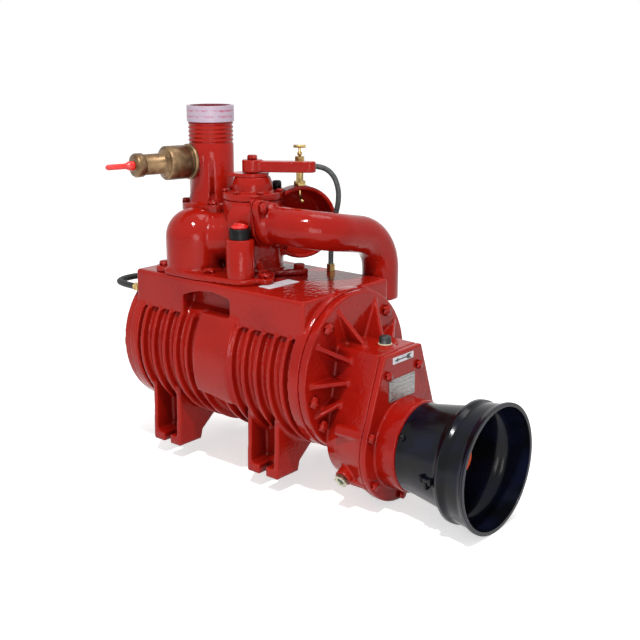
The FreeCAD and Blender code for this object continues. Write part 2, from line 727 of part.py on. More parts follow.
def make_gearbox_cover():
    """Outer gearbox cover with the round boss that carries the guard."""
    plate = Part.Face(case_outline(CASE_FACE_X, CASE_R, CASE_TOP_HALF, CASE_TOP_Z)).extrude(X * CASE_COVER_T)
    spigot_r = SHIELD_REAR_R - SHIELD_T - RUN
    boss_base = CASE_FACE_X + 5
    boss_len = SPIGOT_X - boss_base
    step = boss_len - SHIELD_LAP - 1
    profile = [(0, 0), (BOSS_R, 0), (BOSS_R, step - 2), (spigot_r, step), (spigot_r, boss_len), (0, boss_len)]
    boss = turned(profile, Vector(boss_base, 0, PTO_Z), X)
    body = join([plate, boss])
    body = body.cut(cyl(INPUT_BEARING_R + SEAT, INPUT_BEARING_W + 2, Vector(CASE_FACE_X, 0, PTO_Z), X))
    body = body.cut(cyl(INPUT_SEAL_R + SEAT, 60, Vector(CASE_FACE_X, 0, PTO_Z), X))
    body = body.cut(cyl(SPIGOT_BORE_R, SPIGOT_X - BOSS_FACE_X, Vector(BOSS_FACE_X, 0, PTO_Z), X))
    pocket_x = CASE_JOINT_X + BOSS_WEB
    pocket_len = BOSS_FACE_X - pocket_x
    body = body.cut(ring(SPIGOT_BORE_R, INPUT_SEAL_R + 10, pocket_len, Vector(pocket_x, 0, PTO_Z), X))
    for p in case_face_at(CASE_BOLT_INSET):
        body = body.cut(cyl(M8_R + HOLE_GAP, CASE_COVER_T, Vector(CASE_FACE_X, p.y, p.z), X))
        body = body.cut(cyl(M8_AF * SPOT_FACE, M8_HEAD * 3, Vector(CASE_JOINT_X, p.y, p.z), X))
    for p in shield_screw_points(SHIELD_REAR_R):
        d = (p - Vector(p.x, 0, PTO_Z)).normalize()
        body = body.cut(cyl(SHIELD_SCREW_R + HOLE_GAP, SHIELD_SCREW_L + 3, p - d * (SHIELD_SCREW_L + 3), d))
    return body


def shield_screw_points(radius):
    x = SPIGOT_X - SHIELD_LAP / 2
    return [around_x(radius, 30 + 120 * k, x, PTO_Z) for k in range(3)]


def make_pto_shield():
    """Moulded guard round the drive shaft: cone, bead and flared mouth."""
    x0 = SPIGOT_X - SHIELD_LAP
    lap = SHIELD_LAP + 2
    outer = [(SHIELD_REAR_R, 0), (SHIELD_REAR_R + 1, lap), (SHIELD_WAIST_R, SHIELD_BEAD_X - x0 - 3),
             (SHIELD_BEAD_R, SHIELD_BEAD_X - x0), (SHIELD_BEAD_R, SHIELD_BEAD_X - x0 + SHIELD_BEAD_W),
             (SHIELD_BEAD_R - 3, SHIELD_BEAD_X - x0 + SHIELD_BEAD_W + 3),
             (SHIELD_MOUTH_R - 3, SHIELD_MOUTH_X - x0 - 5), (SHIELD_MOUTH_R, SHIELD_MOUTH_X - x0 - 4),
             (SHIELD_MOUTH_R, SHIELD_MOUTH_X - x0)]
    lap_r = SHIELD_REAR_R - SHIELD_T
    inner = [(SHIELD_MOUTH_R - SHIELD_T - 3, SHIELD_MOUTH_X - x0),
             (SHIELD_BEAD_R - SHIELD_T - 3, SHIELD_BEAD_X - x0 + SHIELD_BEAD_W + 2),
             (SHIELD_WAIST_R - SHIELD_T, SHIELD_BEAD_X - x0 + 3),
             (lap_r + 1, lap), (lap_r, lap - 2), (lap_r, 0)]
    shield = turned(outer + inner, Vector(x0, 0, PTO_Z), X)
    for p in shield_screw_points(SHIELD_REAR_R + 1):
        d = (p - Vector(p.x, 0, PTO_Z)).normalize()
        shield = shield.cut(cyl(SHIELD_SCREW_R + HOLE_GAP, 12, p - d * 8, d))
    return shield


def make_shield_screws():
    screws = []
    for p in shield_screw_points(SHIELD_REAR_R + 1.2):
        d = (p - Vector(p.x, 0, PTO_Z)).normalize()
        shank = cyl(SHIELD_SCREW_R, SHIELD_SCREW_L, p - d * SHIELD_SCREW_L, d)
        screws.append(shank.fuse(cyl(SHIELD_SCREW_R * 2, SHIELD_SCREW_R, p, d)))
    return Part.makeCompound(screws)


def involute_gear(teeth, width, x, z, bore, phase):
    """Spur gear about a shaft axis; the phase in degrees is the angle of one tooth's centre."""
    pitch_r = MODULE * teeth / 2
    base_r = pitch_r * math.cos(math.radians(PRESSURE_ANGLE))
    tip_r = pitch_r + MODULE * 0.94
    root_r = pitch_r - MODULE * 1.22
    inv = math.tan(math.radians(PRESSURE_ANGLE)) - math.radians(PRESSURE_ANGLE)
    half = math.pi / (2 * teeth) - BACKLASH / (2 * pitch_r)
    start = max(base_r, root_r)

    def flank(r):
        t = math.acos(min(1.0, base_r / r))
        return half + inv - (math.tan(t) - t)

    steps = 3
    radii = [start + (tip_r - start) * k / steps for k in range(steps + 1)]
    outline = []
    for n in range(teeth):
        mid = math.radians(phase) + 2 * math.pi * n / teeth
        side = [(root_r, flank(start))] if root_r < start else []
        side += [(r, flank(r)) for r in radii]
        outline += [(r, mid - a) for r, a in side]
        outline += [(r, mid + a) for r, a in reversed(side)]
    points = [Vector(x, r * math.cos(a), z + r * math.sin(a)) for r, a in outline]
    gear = face_of(points).extrude(X * width)
    return gear.cut(cyl(bore + RUN, width, Vector(x, 0, z), X))


def make_gear_wheel():
    """Large gear on the input shaft, webbed between hub and rim."""
    gear = involute_gear(GEAR_TEETH, GEAR_W, GEAR_X, PTO_Z, INPUT_SHAFT_R, 90.0)
    rim_r = MODULE * GEAR_TEETH / 2 - 11
    hub_r = INPUT_SHAFT_R + 10
    depth = 7.0
    for x in (GEAR_X, GEAR_X + GEAR_W - depth):
        gear = gear.cut(ring(rim_r, hub_r, depth, Vector(x, 0, PTO_Z), X))
    return gear


def make_pinion():
    phase = 270.0 + 180.0 / PINION_TEETH
    return involute_gear(PINION_TEETH, GEAR_W, GEAR_X, AXIS_Z, ROTOR_SHAFT_R, phase)


def make_input_shaft():
    """Input shaft: bearing journals, shoulder and six-spline end."""
    rear = INPUT_REAR_BEARING_X + GAP
    front = BOSS_FACE_X + 4
    body = cyl(INPUT_SHAFT_R, front - rear, Vector(rear, 0, PTO_Z), X)
    neck_len = SPLINE_END_X - SPLINE_LEN - front
    body = body.fuse(cyl(SPLINE_ROOT_R, SPLINE_END_X - front, Vector(front, 0, PTO_Z), X))
    body = body.fuse(cyl(SPLINE_R, neck_len, Vector(front, 0, PTO_Z), X))
    start_x = SPLINE_END_X - SPLINE_LEN - 1
    for k in range(SPLINE_COUNT):
        a = math.radians(60 * k)
        u = Vector(0, math.cos(a), math.sin(a))
        w = u.cross(X)
        base = Vector(start_x, 0, PTO_Z)
        corners = [base + u * 8 - w * (SPLINE_TOOTH_W / 2), base + u * 8 + w * (SPLINE_TOOTH_W / 2),
                   base + u * (SPLINE_R + 1) + w * (SPLINE_TOOTH_W / 2),
                   base + u * (SPLINE_R + 1) - w * (SPLINE_TOOTH_W / 2)]
        tooth = face_of(corners).extrude(X * (SPLINE_LEN + 1))
        tooth = tooth.common(cyl(SPLINE_R, SPLINE_LEN + 1, base, X))
        body = body.fuse(tooth)
    groove_x = SPLINE_END_X - 38.0
    body = body.cut(ring(SPLINE_R + 1, SPLINE_ROOT_R + 0.2, 8, Vector(groove_x, 0, PTO_Z), X))
    return body.removeSplitter()


def make_spline_cap():
    """Push-on cap over the splined end."""
    inner = SPLINE_R + GAP
    outer = inner + SPLINE_CAP_T
    depth = SPLINE_LEN - 14
    end = SPLINE_END_X + GAP
    cap = turned([(inner, -depth), (outer, -depth), (outer, SPLINE_CAP_T - 1), (outer - 1, SPLINE_CAP_T),
                  (0, SPLINE_CAP_T), (0, 0), (inner, 0)], Vector(end, 0, PTO_Z), X)
    return cap


def make_rotor_shaft():
    rear = REAR_BEARING_X - 6
    front = GEAR_X + GEAR_W + 6
    body = cyl(ROTOR_SHAFT_R, front - rear, Vector(rear, 0, AXIS_Z), X)
    core_rear = REAR_X - COVER_T + 6
    core_front = ROTOR_BEARING_X - 1
    core = cyl(ROTOR_CORE_R, core_front - core_rear, Vector(core_rear, 0, AXIS_Z), X)
    return join([body, core])


def make_rotor():
    """Slotted drum; each slot holds one vane that slides out as it turns."""
    x0 = REAR_X + ROTOR_END_GAP
    length = FRONT_X - REAR_X - 2 * ROTOR_END_GAP
    drum = cyl(ROTOR_R, length, Vector(x0, 0, AXIS_Z), X)
    drum = drum.cut(cyl(ROTOR_CORE_R + RUN, length, Vector(x0, 0, AXIS_Z), X))
    top = ROTOR_R + 2
    depth = top - VANE_REACH + VANE_H + VANE_DROP
    for k in range(VANE_COUNT):
        drum = drum.cut(vane(k, VANE_T / 2 + VANE_CLEAR, depth, top, x0, length))
    return drum


def vane(k, half, height, outer, x0, length):
    """Flat blade set off the radius, so that it trails as the rotor turns."""
    a = math.radians(360.0 / VANE_COUNT * k + VANE_FIRST_ANGLE)
    u = Vector(0, math.cos(a), math.sin(a))
    w = u.cross(X)
    base = Vector(x0, 0, AXIS_Z) + w * VANE_OFFSET
    corners = [base + u * (outer - height) - w * half, base + u * (outer - height) + w * half,
               base + u * outer + w * half, base + u * outer - w * half]
    return face_of(corners).extrude(X * length)


def make_vanes():
    x0 = REAR_X + ROTOR_END_GAP
    length = FRONT_X - REAR_X - 2 * ROTOR_END_GAP
    return Part.makeCompound([vane(k, VANE_T / 2, VANE_H, VANE_REACH, x0, length) for k in range(VANE_COUNT)])


def make_seal(outer, inner, x, z):
    """Lip seal: a short ring with a lip turned in towards the shaft."""
    r = inner + RUN
    profile = [(r, SEAL_T * 0.4), (r, SEAL_T * 0.6), (outer - 3, SEAL_T - 1.5), (outer - 3, SEAL_T),
               (outer, SEAL_T), (outer, 0), (outer - 3, 0), (r + 3, 1.5)]
    return turned(profile, Vector(x, 0, z), X)


def make_valve_body():
    """Valve casting: chamber, dome over the check valve, hood, tank port neck and elbow pad."""
    chamber = cyl(CHAMBER_R, CHAMBER_TOP_Z - TANK_TOP_Z, Vector(0, 0, TANK_TOP_Z))
    dome_at = Vector(DOME_X, DOME_Y, DOME_SPRING_Z)
    dome = cyl(DOME_R, DOME_SPRING_Z - TANK_TOP_Z, Vector(DOME_X, DOME_Y, TANK_TOP_Z))
    cap = Part.makeSphere(DOME_R, dome_at)
    duct_r = DOME_R - 8
    to_dome = Vector(-DOME_X, -DOME_Y, 0)
    duct = cyl(duct_r, to_dome.Length, dome_at, to_dome)
    neck_foot = Vector(PORT_X, PORT_Y, DOME_SPRING_Z - 20)
    neck = cyl(PORT_FLANGE_R - 3, PORT_FACE_Z - neck_foot.z, neck_foot)
    neck_low = Part.makeSphere(PORT_FLANGE_R - 3.05, neck_foot)
    pad_face = ELBOW_FACE - ELBOW_DIR * ELBOW_FLANGE_T
    elbow_duct = cyl(ELBOW_R + 5, ELBOW_X - 8, pad_face, -ELBOW_DIR)
    elbow_pad = lozenge(pad_face - ELBOW_DIR * ELBOW_PAD_T, ELBOW_PAD_T)
    hood = hood_solid(HOOD_R, HOOD_FRONT, HOOD_BACK)
    tap_boss = cyl(TAP_BASE_R + 3, 14, TAP_SEAT - Z * 14)
    base = manifold_base()
    outside = join([chamber, dome, cap, duct, neck, neck_low, elbow_duct, elbow_pad, hood, tap_boss, base])
    outside = outside.common(block(-300, 300, -300, 300, TANK_TOP_Z, 600))
    hollow = hood_solid(HOOD_R - HOOD_WALL, HOOD_FRONT, HOOD_BACK - HOOD_WALL)
    outside = outside.cut(hollow)
    wall = cyl(CHAMBER_R, CHAMBER_TOP_Z - TANK_TOP_Z, Vector(0, 0, TANK_TOP_Z))
    outside = join([outside, wall])
    above = cover_plate_outline(GAP).extrude(Z * 60)
    above.translate(Z * CHAMBER_TOP_Z)
    outside = outside.cut(above)
    outside = outside.cut(lozenge(pad_face, 60, GAP))
    outside = outside.cut(cyl(PORT_FLANGE_R + GAP, 60, Vector(PORT_X, PORT_Y, PORT_FACE_Z)))
    outside = join([outside, wall.cut(lozenge(pad_face, 60, GAP))])
    bore_floor = TANK_TOP_Z + CHAMBER_FLOOR
    inner_r = DOME_R - DOME_WALL
    cuts = [cyl(CHAMBER_BORE_R, CHAMBER_TOP_Z - bore_floor, Vector(0, 0, bore_floor)),
            cyl(SEAT_R, CHAMBER_FLOOR + 1, Vector(0, 0, TANK_TOP_Z)),
            cyl(inner_r, DOME_SPRING_Z - TANK_TOP_Z, Vector(DOME_X, DOME_Y, TANK_TOP_Z)),
            Part.makeSphere(inner_r, dome_at),
            cyl(duct_r - 14, to_dome.Length, dome_at, to_dome),
            cyl(PORT_BORE_R, PORT_FACE_Z - DOME_SPRING_Z, Vector(PORT_X, PORT_Y, DOME_SPRING_Z)),
            cyl(ELBOW_BORE_R, ELBOW_X, pad_face, -ELBOW_DIR)]
    for c in cuts:
        outside = outside.cut(c)
    for p in manifold_bolt_points():
        outside = outside.cut(cyl(M10_R + HOLE_GAP, MANIFOLD_T, p))
        outside = outside.cut(cyl(M10_AF * SPOT_FACE, 60, p + Z * MANIFOLD_T))
    for p in port_bolt_points():
        outside = outside.cut(cyl(M8_R + HOLE_GAP, M8_GRIP + 2, p - Z * (M8_GRIP + 2)))
    for p in elbow_bolt_points():
        depth = ELBOW_BOLT_GRIP + GAP
        start = p - ELBOW_DIR * (ELBOW_FLANGE_T + depth)
        outside = outside.cut(cyl(M10_R + HOLE_GAP, depth, start, ELBOW_DIR))
    for p in valve_cover_bolt_points(CHAMBER_TOP_Z):
        outside = outside.cut(cyl(M6_R + HOLE_GAP, M6_GRIP + 2, p - Z * (M6_GRIP + 2)))
    outside = outside.cut(cyl(DRIP_R + HOLE_GAP, HOOD_WALL + 14, TAP_SEAT - Z * (HOOD_WALL + 14)))
    neck_len = FILLER_TOP_Z - MANIFOLD_Z
    outside = outside.cut(cyl(FILLER_R + 2, neck_len, Vector(FILLER_X, FILLER_Y, MANIFOLD_Z)))
    outside = outside.cut(cyl(FILLER_COLLAR_R + 2, 60, Vector(FILLER_X, FILLER_Y, FILLER_TOP_Z)))
    return outside


def manifold_base():
    """Flat foot of the valve casting where it is bolted to the tank."""
    shapes = []
    for p in manifold_bolt_points():
        pad = hull_of_circles(p.x, p.y, 15.0, p.x * 0.25 - 10, p.y * 0.25, 40.0).extrude(Z * MANIFOLD_T)
        pad.translate(Z * TANK_TOP_Z)
        shapes.append(pad)
    front = hull_of_circles(DOME_X, DOME_Y, DOME_R + 5, FILLER_X, FILLER_Y + 6, FILLER_R + 8)
    front = front.extrude(Z * MANIFOLD_T)
    front.translate(Z * TANK_TOP_Z)
    shapes.append(front)
    foot = join(shapes)
    return foot.common(block(-150, 150, -TANK_HALF + 1, TANK_HALF - 1, TANK_TOP_Z, MANIFOLD_Z))


def hood_solid(radius, front, back):
    """Round mouth of the hood: a drum along its axis with a domed back."""
    start = HOOD_CENTRE + HOOD_DIR * front
    length = front + back - radius * 0.5
    drum = cyl(radius, length, start, -HOOD_DIR)
    end = start - HOOD_DIR * length
    ball = Part.makeSphere(radius, end)
    ball = ball.common(cyl(radius * 1.2, radius * 0.5, end, -HOOD_DIR))
    return drum.fuse(ball).removeSplitter()


def lozenge(face, thickness, margin=0.0):
    """Two-bolt flange: a slanted lozenge that wraps the tube and both bolts."""
    u = lozenge_axis()
    w = ELBOW_DIR.cross(u)
    ring_r, lobe_r = ELBOW_RING_R + margin, ELBOW_LOBE_R + margin
    half = hull_of_circles(0, 0, ring_r, ELBOW_LOZENGE, 0, lobe_r).extrude(Z * thickness)
    other = hull_of_circles(0, 0, ring_r, -ELBOW_LOZENGE, 0, lobe_r).extrude(Z * thickness)
    plate = half.fuse(other).removeSplitter()
    frame = FreeCAD.Matrix(u.x, w.x, ELBOW_DIR.x, face.x, u.y, w.y, ELBOW_DIR.y, face.y,
                           u.z, w.z, ELBOW_DIR.z, face.z, 0, 0, 0, 1)
    plate.Placement = FreeCAD.Placement(frame)
    return plate


def lozenge_axis():
    """Long axis of the elbow's flange, from its lower bolt to its upper one."""
    return (Z - Z.cross(ELBOW_DIR)).normalize()


def elbow_bolt_points():
    return [ELBOW_FACE + lozenge_axis() * s * ELBOW_LOZENGE for s in (-1, 1)]


def port_bolt_points():
    base = Vector(PORT_X, PORT_Y, PORT_FACE_Z)
    return [base + polar(a) * PORT_PCD_R for a in PORT_ANGLES]


def valve_cover_bolt_points(z):
    return [polar(a) * ((CHAMBER_R + CHAMBER_BORE_R) / 2) + Z * z for a in VALVE_BOLT_ANGLES]


def cover_plate_outline(margin):
    """Face of the valve cover's flange: a disc with a lobe for the vent plug."""
    disc = Part.Face(Part.Wire(Part.makeCircle(VALVE_COVER_R + margin, Vector(0, 0, 0), Z)))
    lobe = hull_of_circles(0, 0, VALVE_COVER_R * 0.7, VENT.x, VENT.y, VENT_LOBE_R + margin)
    return disc.fuse(lobe).removeSplitter()


def make_valve_cover():
    """Valve cover: flange and a raised round boss for the spindle."""
    plate = cover_plate_outline(0).extrude(Z * VALVE_COVER_T)
    plate.translate(Z * CHAMBER_TOP_Z)
    profile = [(0, 0), (VALVE_DOME_R, 0), (VALVE_DOME_R - 1, VALVE_DOME_H * 0.55),
               (VALVE_DOME_TOP_R, VALVE_DOME_H), (0, VALVE_DOME_H)]
    boss = turned(profile, Vector(0, 0, VALVE_COVER_Z), Z)
    cover = join([plate, boss])
    cover = cover.cut(cyl(SPINDLE_R + RUN, 80, Vector(0, 0, CHAMBER_TOP_Z - 1)))
    for p in valve_cover_bolt_points(CHAMBER_TOP_Z):
        cover = cover.cut(cyl(M6_R + HOLE_GAP, VALVE_COVER_T + 30, p))
    cover = cover.cut(cyl(VENT_THREAD_R + HOLE_GAP, 9, VENT + Z * (VALVE_COVER_Z - 9)))
    return cover


def make_valve_plug():
    """Changeover plug: two discs joined by a wall across the chamber, with its spindle."""
    low = TANK_TOP_Z + CHAMBER_FLOOR + GAP
    high = CHAMBER_TOP_Z - GAP
    r = CHAMBER_BORE_R - RUN
    wall = block(-r, r, -PLUG_WALL / 2, PLUG_WALL / 2, low, high)
    wall = wall.common(cyl(r, high - low, Vector(0, 0, low)))
    wall.rotate(Vector(0, 0, 0), Z, LEVER_ANGLE + 12)
    discs = [ring(r, SEAT_R, PLUG_DISC, Vector(0, 0, low)), cyl(r, PLUG_DISC, Vector(0, 0, high - PLUG_DISC))]
    spindle = cyl(SPINDLE_R, LEVER_Z + LEVER_HUB_H - 4 - high, Vector(0, 0, high))
    return join([wall] + discs + [spindle])


def make_index_plate():
    """Fixed plate under the lever that marks its two positions."""
    end = polar(INDEX_ANGLE) * INDEX_REACH
    plate = hull_of_circles(0, 0, INDEX_R, end.x, end.y, 8.0).extrude(Z * INDEX_T)
    plate.translate(Z * INDEX_Z)
    return plate.cut(cyl(SPINDLE_R + 1, INDEX_T, Vector(0, 0, INDEX_Z)))


def make_lever():
    """Changeover lever: a round hub and a flat bar with a rounded end."""
    end = polar(LEVER_ANGLE) * LEVER_LEN
    bar = hull_of_circles(0, 0, LEVER_W / 2 + 1, end.x, end.y, LEVER_W / 2).extrude(Z * LEVER_T)
    bar.translate(Z * (LEVER_Z + 1))
    hub = cyl(LEVER_HUB_R, LEVER_HUB_H, Vector(0, 0, LEVER_Z))
    lever = join([bar, hub])
    return lever.cut(cyl(SPINDLE_R + SEAT, LEVER_HUB_H - 4, Vector(0, 0, LEVER_Z))).cut(
        cyl(M8_R + HOLE_GAP, LEVER_HUB_H + 1, Vector(0, 0, LEVER_Z)))


def make_lever_bolt():
    seat = Vector(0, 0, LEVER_Z + LEVER_HUB_H)
    return bolt(M8_AF + 2, M8_HEAD + 1, M8_R, 4 - GAP, seat, Z)


def make_tank_port():
    """Threaded stub for the tank hose, with a side boss for the relief valve."""
    flange = cyl(PORT_FLANGE_R, PORT_FLANGE_T, Vector(PORT_X, PORT_Y, PORT_FACE_Z))
    flange = flange.cut(cyl(CHAMBER_R + GAP, PORT_FLANGE_T, Vector(0, 0, PORT_FACE_Z)))
    h0 = PORT_FACE_Z + PORT_FLANGE_T
    thread_low = PORT_TOP_Z - THREAD_LEN
    profile = [(0, PORT_FACE_Z), (PORT_R + 4, PORT_FACE_Z), (PORT_R + 4, h0), (PORT_R, h0 + 14),
               (PORT_R, thread_low)]
    count = int(THREAD_LEN / THREAD_PITCH)
    for k in range(count):
        z = thread_low + k * THREAD_PITCH
        root = PORT_R - THREAD_DEPTH
        profile += [(root, z + THREAD_PITCH * 0.3), (root, z + THREAD_PITCH * 0.5),
                    (PORT_R, z + THREAD_PITCH * 0.75), (PORT_R, z + THREAD_PITCH)]
    profile += [(PORT_R, PORT_TOP_Z - 1.0), (PORT_R - 1.5, PORT_TOP_Z), (0, PORT_TOP_Z)]
    stub = turned(profile, Vector(PORT_X, PORT_Y, 0), Z)
    boss = cyl(RELIEF_BOSS_R, RELIEF_BOSS_END, RELIEF_BASE, RELIEF_DIR)
    body = join([flange, stub, boss])
    body = body.cut(cyl(PORT_BORE_R, PORT_TOP_Z - PORT_FACE_Z, Vector(PORT_X, PORT_Y, PORT_FACE_Z)))
    body = body.cut(cyl(RELIEF_SEAT_R, RELIEF_BOSS_END + 1, RELIEF_BASE, RELIEF_DIR))
    for p in port_bolt_points():
        body = body.cut(cyl(M8_R + HOLE_GAP, PORT_FLANGE_T, p))
        body = body.cut(cyl(M8_AF * SPOT_FACE, 20, p + Z * PORT_FLANGE_T))
    return body


def make_thread_cap():
    """Thin plastic cap over the end of the thread."""
    inner = PORT_R + GAP
    outer = inner + THREAD_CAP_T
    top = PORT_TOP_Z + GAP
    low = PORT_TOP_Z - THREAD_CAP_H
    hole = PORT_BORE_R + 2
    profile = [(inner, low), (outer, low), (outer, top + THREAD_CAP_T), (hole, top + THREAD_CAP_T),
               (hole, top), (inner, top)]
    return turned(profile, Vector(PORT_X, PORT_Y, 0), Z)


def relief(profile):
    return turned(profile, RELIEF_BASE, RELIEF_DIR)


def make_relief_body():
    """Brass body: collar against the boss and a wide spring chamber."""
    hole = RELIEF_SEAT_R - 3
    neck = RELIEF_R - 2.5
    return relief([(hole, RELIEF_S0), (RELIEF_COLLAR_R - 1, RELIEF_S0), (RELIEF_COLLAR_R, RELIEF_S0 + 1.5),
                   (RELIEF_COLLAR_R, RELIEF_S1 - 1), (neck, RELIEF_S1), (neck, RELIEF_S1 + 3),
                   (RELIEF_R, RELIEF_S1 + 4), (RELIEF_R, RELIEF_S2 - 2), (RELIEF_R - 2, RELIEF_S2),
                   (RELIEF_BORE_R, RELIEF_S2), (RELIEF_BORE_R, POPPET_S), (hole, POPPET_S)])


def make_relief_bonnet():
    """Brass bonnet: cone, neck and end nut, with the bore that guides the stem."""
    guide = RELIEF_STEM_R + RUN
    bore = RELIEF_NECK_R - 5
    return relief([(guide, RELIEF_S5), (RELIEF_NUT_R - 2, RELIEF_S5), (RELIEF_NUT_R, RELIEF_S5 - 3),
                   (RELIEF_NUT_R, RELIEF_S4 + 3), (RELIEF_NUT_R - 3, RELIEF_S4),
                   (RELIEF_NECK_R, RELIEF_S4 - 1),
                   (RELIEF_NECK_R, RELIEF_S3), (RELIEF_R - 4, RELIEF_S2), (bore, RELIEF_S2),
                   (bore, RELIEF_S4), (guide, RELIEF_S4)])


def relief_stem_end():
    """Station where the stem ends, inside the pull tip."""
    return RELIEF_S5 + RELIEF_TRAVEL + RELIEF_TIP_L * 0.4


def make_relief_poppet():
    """Valve disc with its stem; it lifts outwards off the seat."""
    face = POPPET_S + GAP
    back = face + POPPET_T
    r = RELIEF_BORE_R - 2
    end = relief_stem_end()
    return relief([(0, face), (r, face), (r, back - 2), (r - 3, back), (RELIEF_STEM_R, back),
                   (RELIEF_STEM_R, end), (0, end)])


def make_relief_spring():
    """Coil spring between the poppet and the bonnet's shoulder."""
    low = POPPET_S + GAP + POPPET_T + SPRING_GAP
    length = RELIEF_S4 - SPRING_GAP - low
    coil_r = RELIEF_NECK_R - 5 - RELIEF_WIRE_R - 0.6
    turns = 8.0
    lift = length - 2 * RELIEF_WIRE_R
    helix = Part.makeHelix(lift / turns, lift, coil_r)
    spot = Part.Wire(Part.makeCircle(RELIEF_WIRE_R, Vector(coil_r, 0, 0), Y))
    coil = Part.Wire(helix).makePipeShell([spot], True, True)
    foot = RELIEF_BASE + RELIEF_DIR * (low + RELIEF_WIRE_R)
    coil.Placement = FreeCAD.Placement(foot, FreeCAD.Rotation(Z, RELIEF_DIR))
    return coil


def make_relief_tip():
    """Red plastic pull tip on the end of the stem."""
    s0 = RELIEF_S5 + GAP
    s1 = s0 + RELIEF_TIP_L
    bore = RELIEF_STEM_R + SEAT
    depth = relief_stem_end() + GAP
    return relief([(bore, s0), (RELIEF_TIP_R, s0), (RELIEF_TIP_R, s0 + 8), (RELIEF_TIP_END_R, s0 + 14),
                   (RELIEF_TIP_END_R, s1 - 3), (RELIEF_TIP_END_R - 2, s1), (0, s1), (0, depth),
                   (bore, depth)])


def make_outlet_elbow():
    """Bent outlet tube with a slanted two-bolt flange and an open lower end."""
    p0 = ELBOW_FACE
    p1 = p0 + ELBOW_DIR * ELBOW_REACH - Z * 3
    p2 = Vector(ELBOW_DROP_X, ELBOW_DROP_Y, ELBOW_DROP_Z)
    p3 = Vector(ELBOW_DROP_X, ELBOW_DROP_Y, ELBOW_MOUTH_Z)
    pts = [p0 - ELBOW_DIR * 4, p1, p2, p3]
    radii = [ELBOW_BEND_R, ELBOW_BEND_R]
    tube = sweep(pts, radii, ELBOW_R)
    bore = sweep([p0 - ELBOW_DIR * 13, p1, p2, p3 - Z * 2], radii, ELBOW_BORE_R)
    flange = lozenge(p0 - ELBOW_DIR * (ELBOW_FLANGE_T - GASKET_T), ELBOW_FLANGE_T - GASKET_T)
    collar = cyl(ELBOW_R + 3, 5, p0, ELBOW_DIR)
    body = join([tube, flange, collar]).cut(bore)
    for p in elbow_bolt_points():
        start = p - ELBOW_DIR * (ELBOW_FLANGE_T + 1)
        body = body.cut(cyl(M10_R + HOLE_GAP, ELBOW_FLANGE_T + 2, start, ELBOW_DIR))
        body = body.cut(cyl(M10_AF * SPOT_FACE, 20, p, ELBOW_DIR))
    return body


def make_elbow_gasket():
    face = ELBOW_FACE - ELBOW_DIR * ELBOW_FLANGE_T
    gasket = lozenge(face, GASKET_T)
    gasket = gasket.cut(cyl(ELBOW_BORE_R, GASKET_T + 2, face - ELBOW_DIR, ELBOW_DIR))
    for p in elbow_bolt_points():
        start = p - ELBOW_DIR * (ELBOW_FLANGE_T + 1)
        gasket = gasket.cut(cyl(M10_R + HOLE_GAP, GASKET_T + 2, start, ELBOW_DIR))
    return gasket


def make_ball_seat():
    """Ring that the check ball rests on, pressed into the foot of the dome."""
    outer = DOME_R - DOME_WALL - SEAT
    return turned([(SEAT_R, 0), (outer, 0), (outer, SEAT_H), (SEAT_R + 2, SEAT_H), (SEAT_R, SEAT_H - 2)],
                  Vector(DOME_X, DOME_Y, TANK_TOP_Z), Z)


def make_check_ball():
    rest = math.sqrt((BALL_R + GAP) ** 2 - (SEAT_R + 2) ** 2)
    return Part.makeSphere(BALL_R, Vector(DOME_X, DOME_Y, TANK_TOP_Z + SEAT_H + rest))


def make_filler_neck():
    """Upright pipe of the oil filler, on the tank."""
    profile = [(FILLER_BORE_R, 0), (FILLER_R, 0), (FILLER_R, FILLER_TOP_Z - MANIFOLD_Z - 2),
               (FILLER_R - 2, FILLER_TOP_Z - MANIFOLD_Z), (FILLER_BORE_R, FILLER_TOP_Z - MANIFOLD_Z)]
    return turned(profile, Vector(FILLER_X, FILLER_Y, MANIFOLD_Z), Z)


def make_filler_collar():
    profile = [(FILLER_BORE_R, 0), (FILLER_COLLAR_R, 0), (FILLER_COLLAR_R, FILLER_COLLAR_H - 1.5),
               (FILLER_COLLAR_R - 1.5, FILLER_COLLAR_H), (FILLER_BORE_R, FILLER_COLLAR_H)]
    return turned(profile, Vector(FILLER_X, FILLER_Y, FILLER_TOP_Z), Z)


def make_filler_cap():
    """Screw cap with a plug that goes down the collar's bore."""
    stem = FILLER_BORE_R - GAP
    profile = [(0, -14), (stem, -14), (stem, 0.3), (FILLER_CAP_R, 0.3), (FILLER_CAP_R, FILLER_CAP_H - 1),
               (FILLER_CAP_R - 1, FILLER_CAP_H), (0, FILLER_CAP_H)]
    cap = turned(profile, Vector(FILLER_X, FILLER_Y, FILLER_TOP_Z + FILLER_COLLAR_H), Z)
    wing = block(-FILLER_CAP_R + 3, FILLER_CAP_R - 3, -2, 2, FILLER_CAP_H - 0.5, FILLER_CAP_H + 3)
    wing.translate(Vector(FILLER_X, FILLER_Y, FILLER_TOP_Z + FILLER_COLLAR_H))
    return join([cap, wing])


def make_tap_body():
    """Brass tap: hexagon base, round body and a side outlet for the hose."""
    base = hexagon(TAP_BASE_R * 1.9, TAP_BASE_H, TAP_SEAT)
    body = cyl(TAP_BODY_R, TAP_BODY_H, TAP_SEAT + Z * TAP_BASE_H)
    nipple = cyl(TAP_OUTLET_R, TAP_OUTLET_L, TAP_OUTLET, TAP_OUTLET_DIR)
    tap = join([base, body, nipple])
    return tap.cut(cyl(TAP_STEM_R + RUN, TAP_BODY_H + 2, TAP_SEAT + Z * (TAP_BASE_H + 4)))


def make_tap_nut():
    low = TAP_SEAT + Z * (TAP_BASE_H + TAP_BODY_H)
    nut = hexagon(TAP_NUT_R * 1.8, TAP_NUT_H, low)
    return nut.cut(cyl(TAP_STEM_R + RUN, TAP_NUT_H, low))


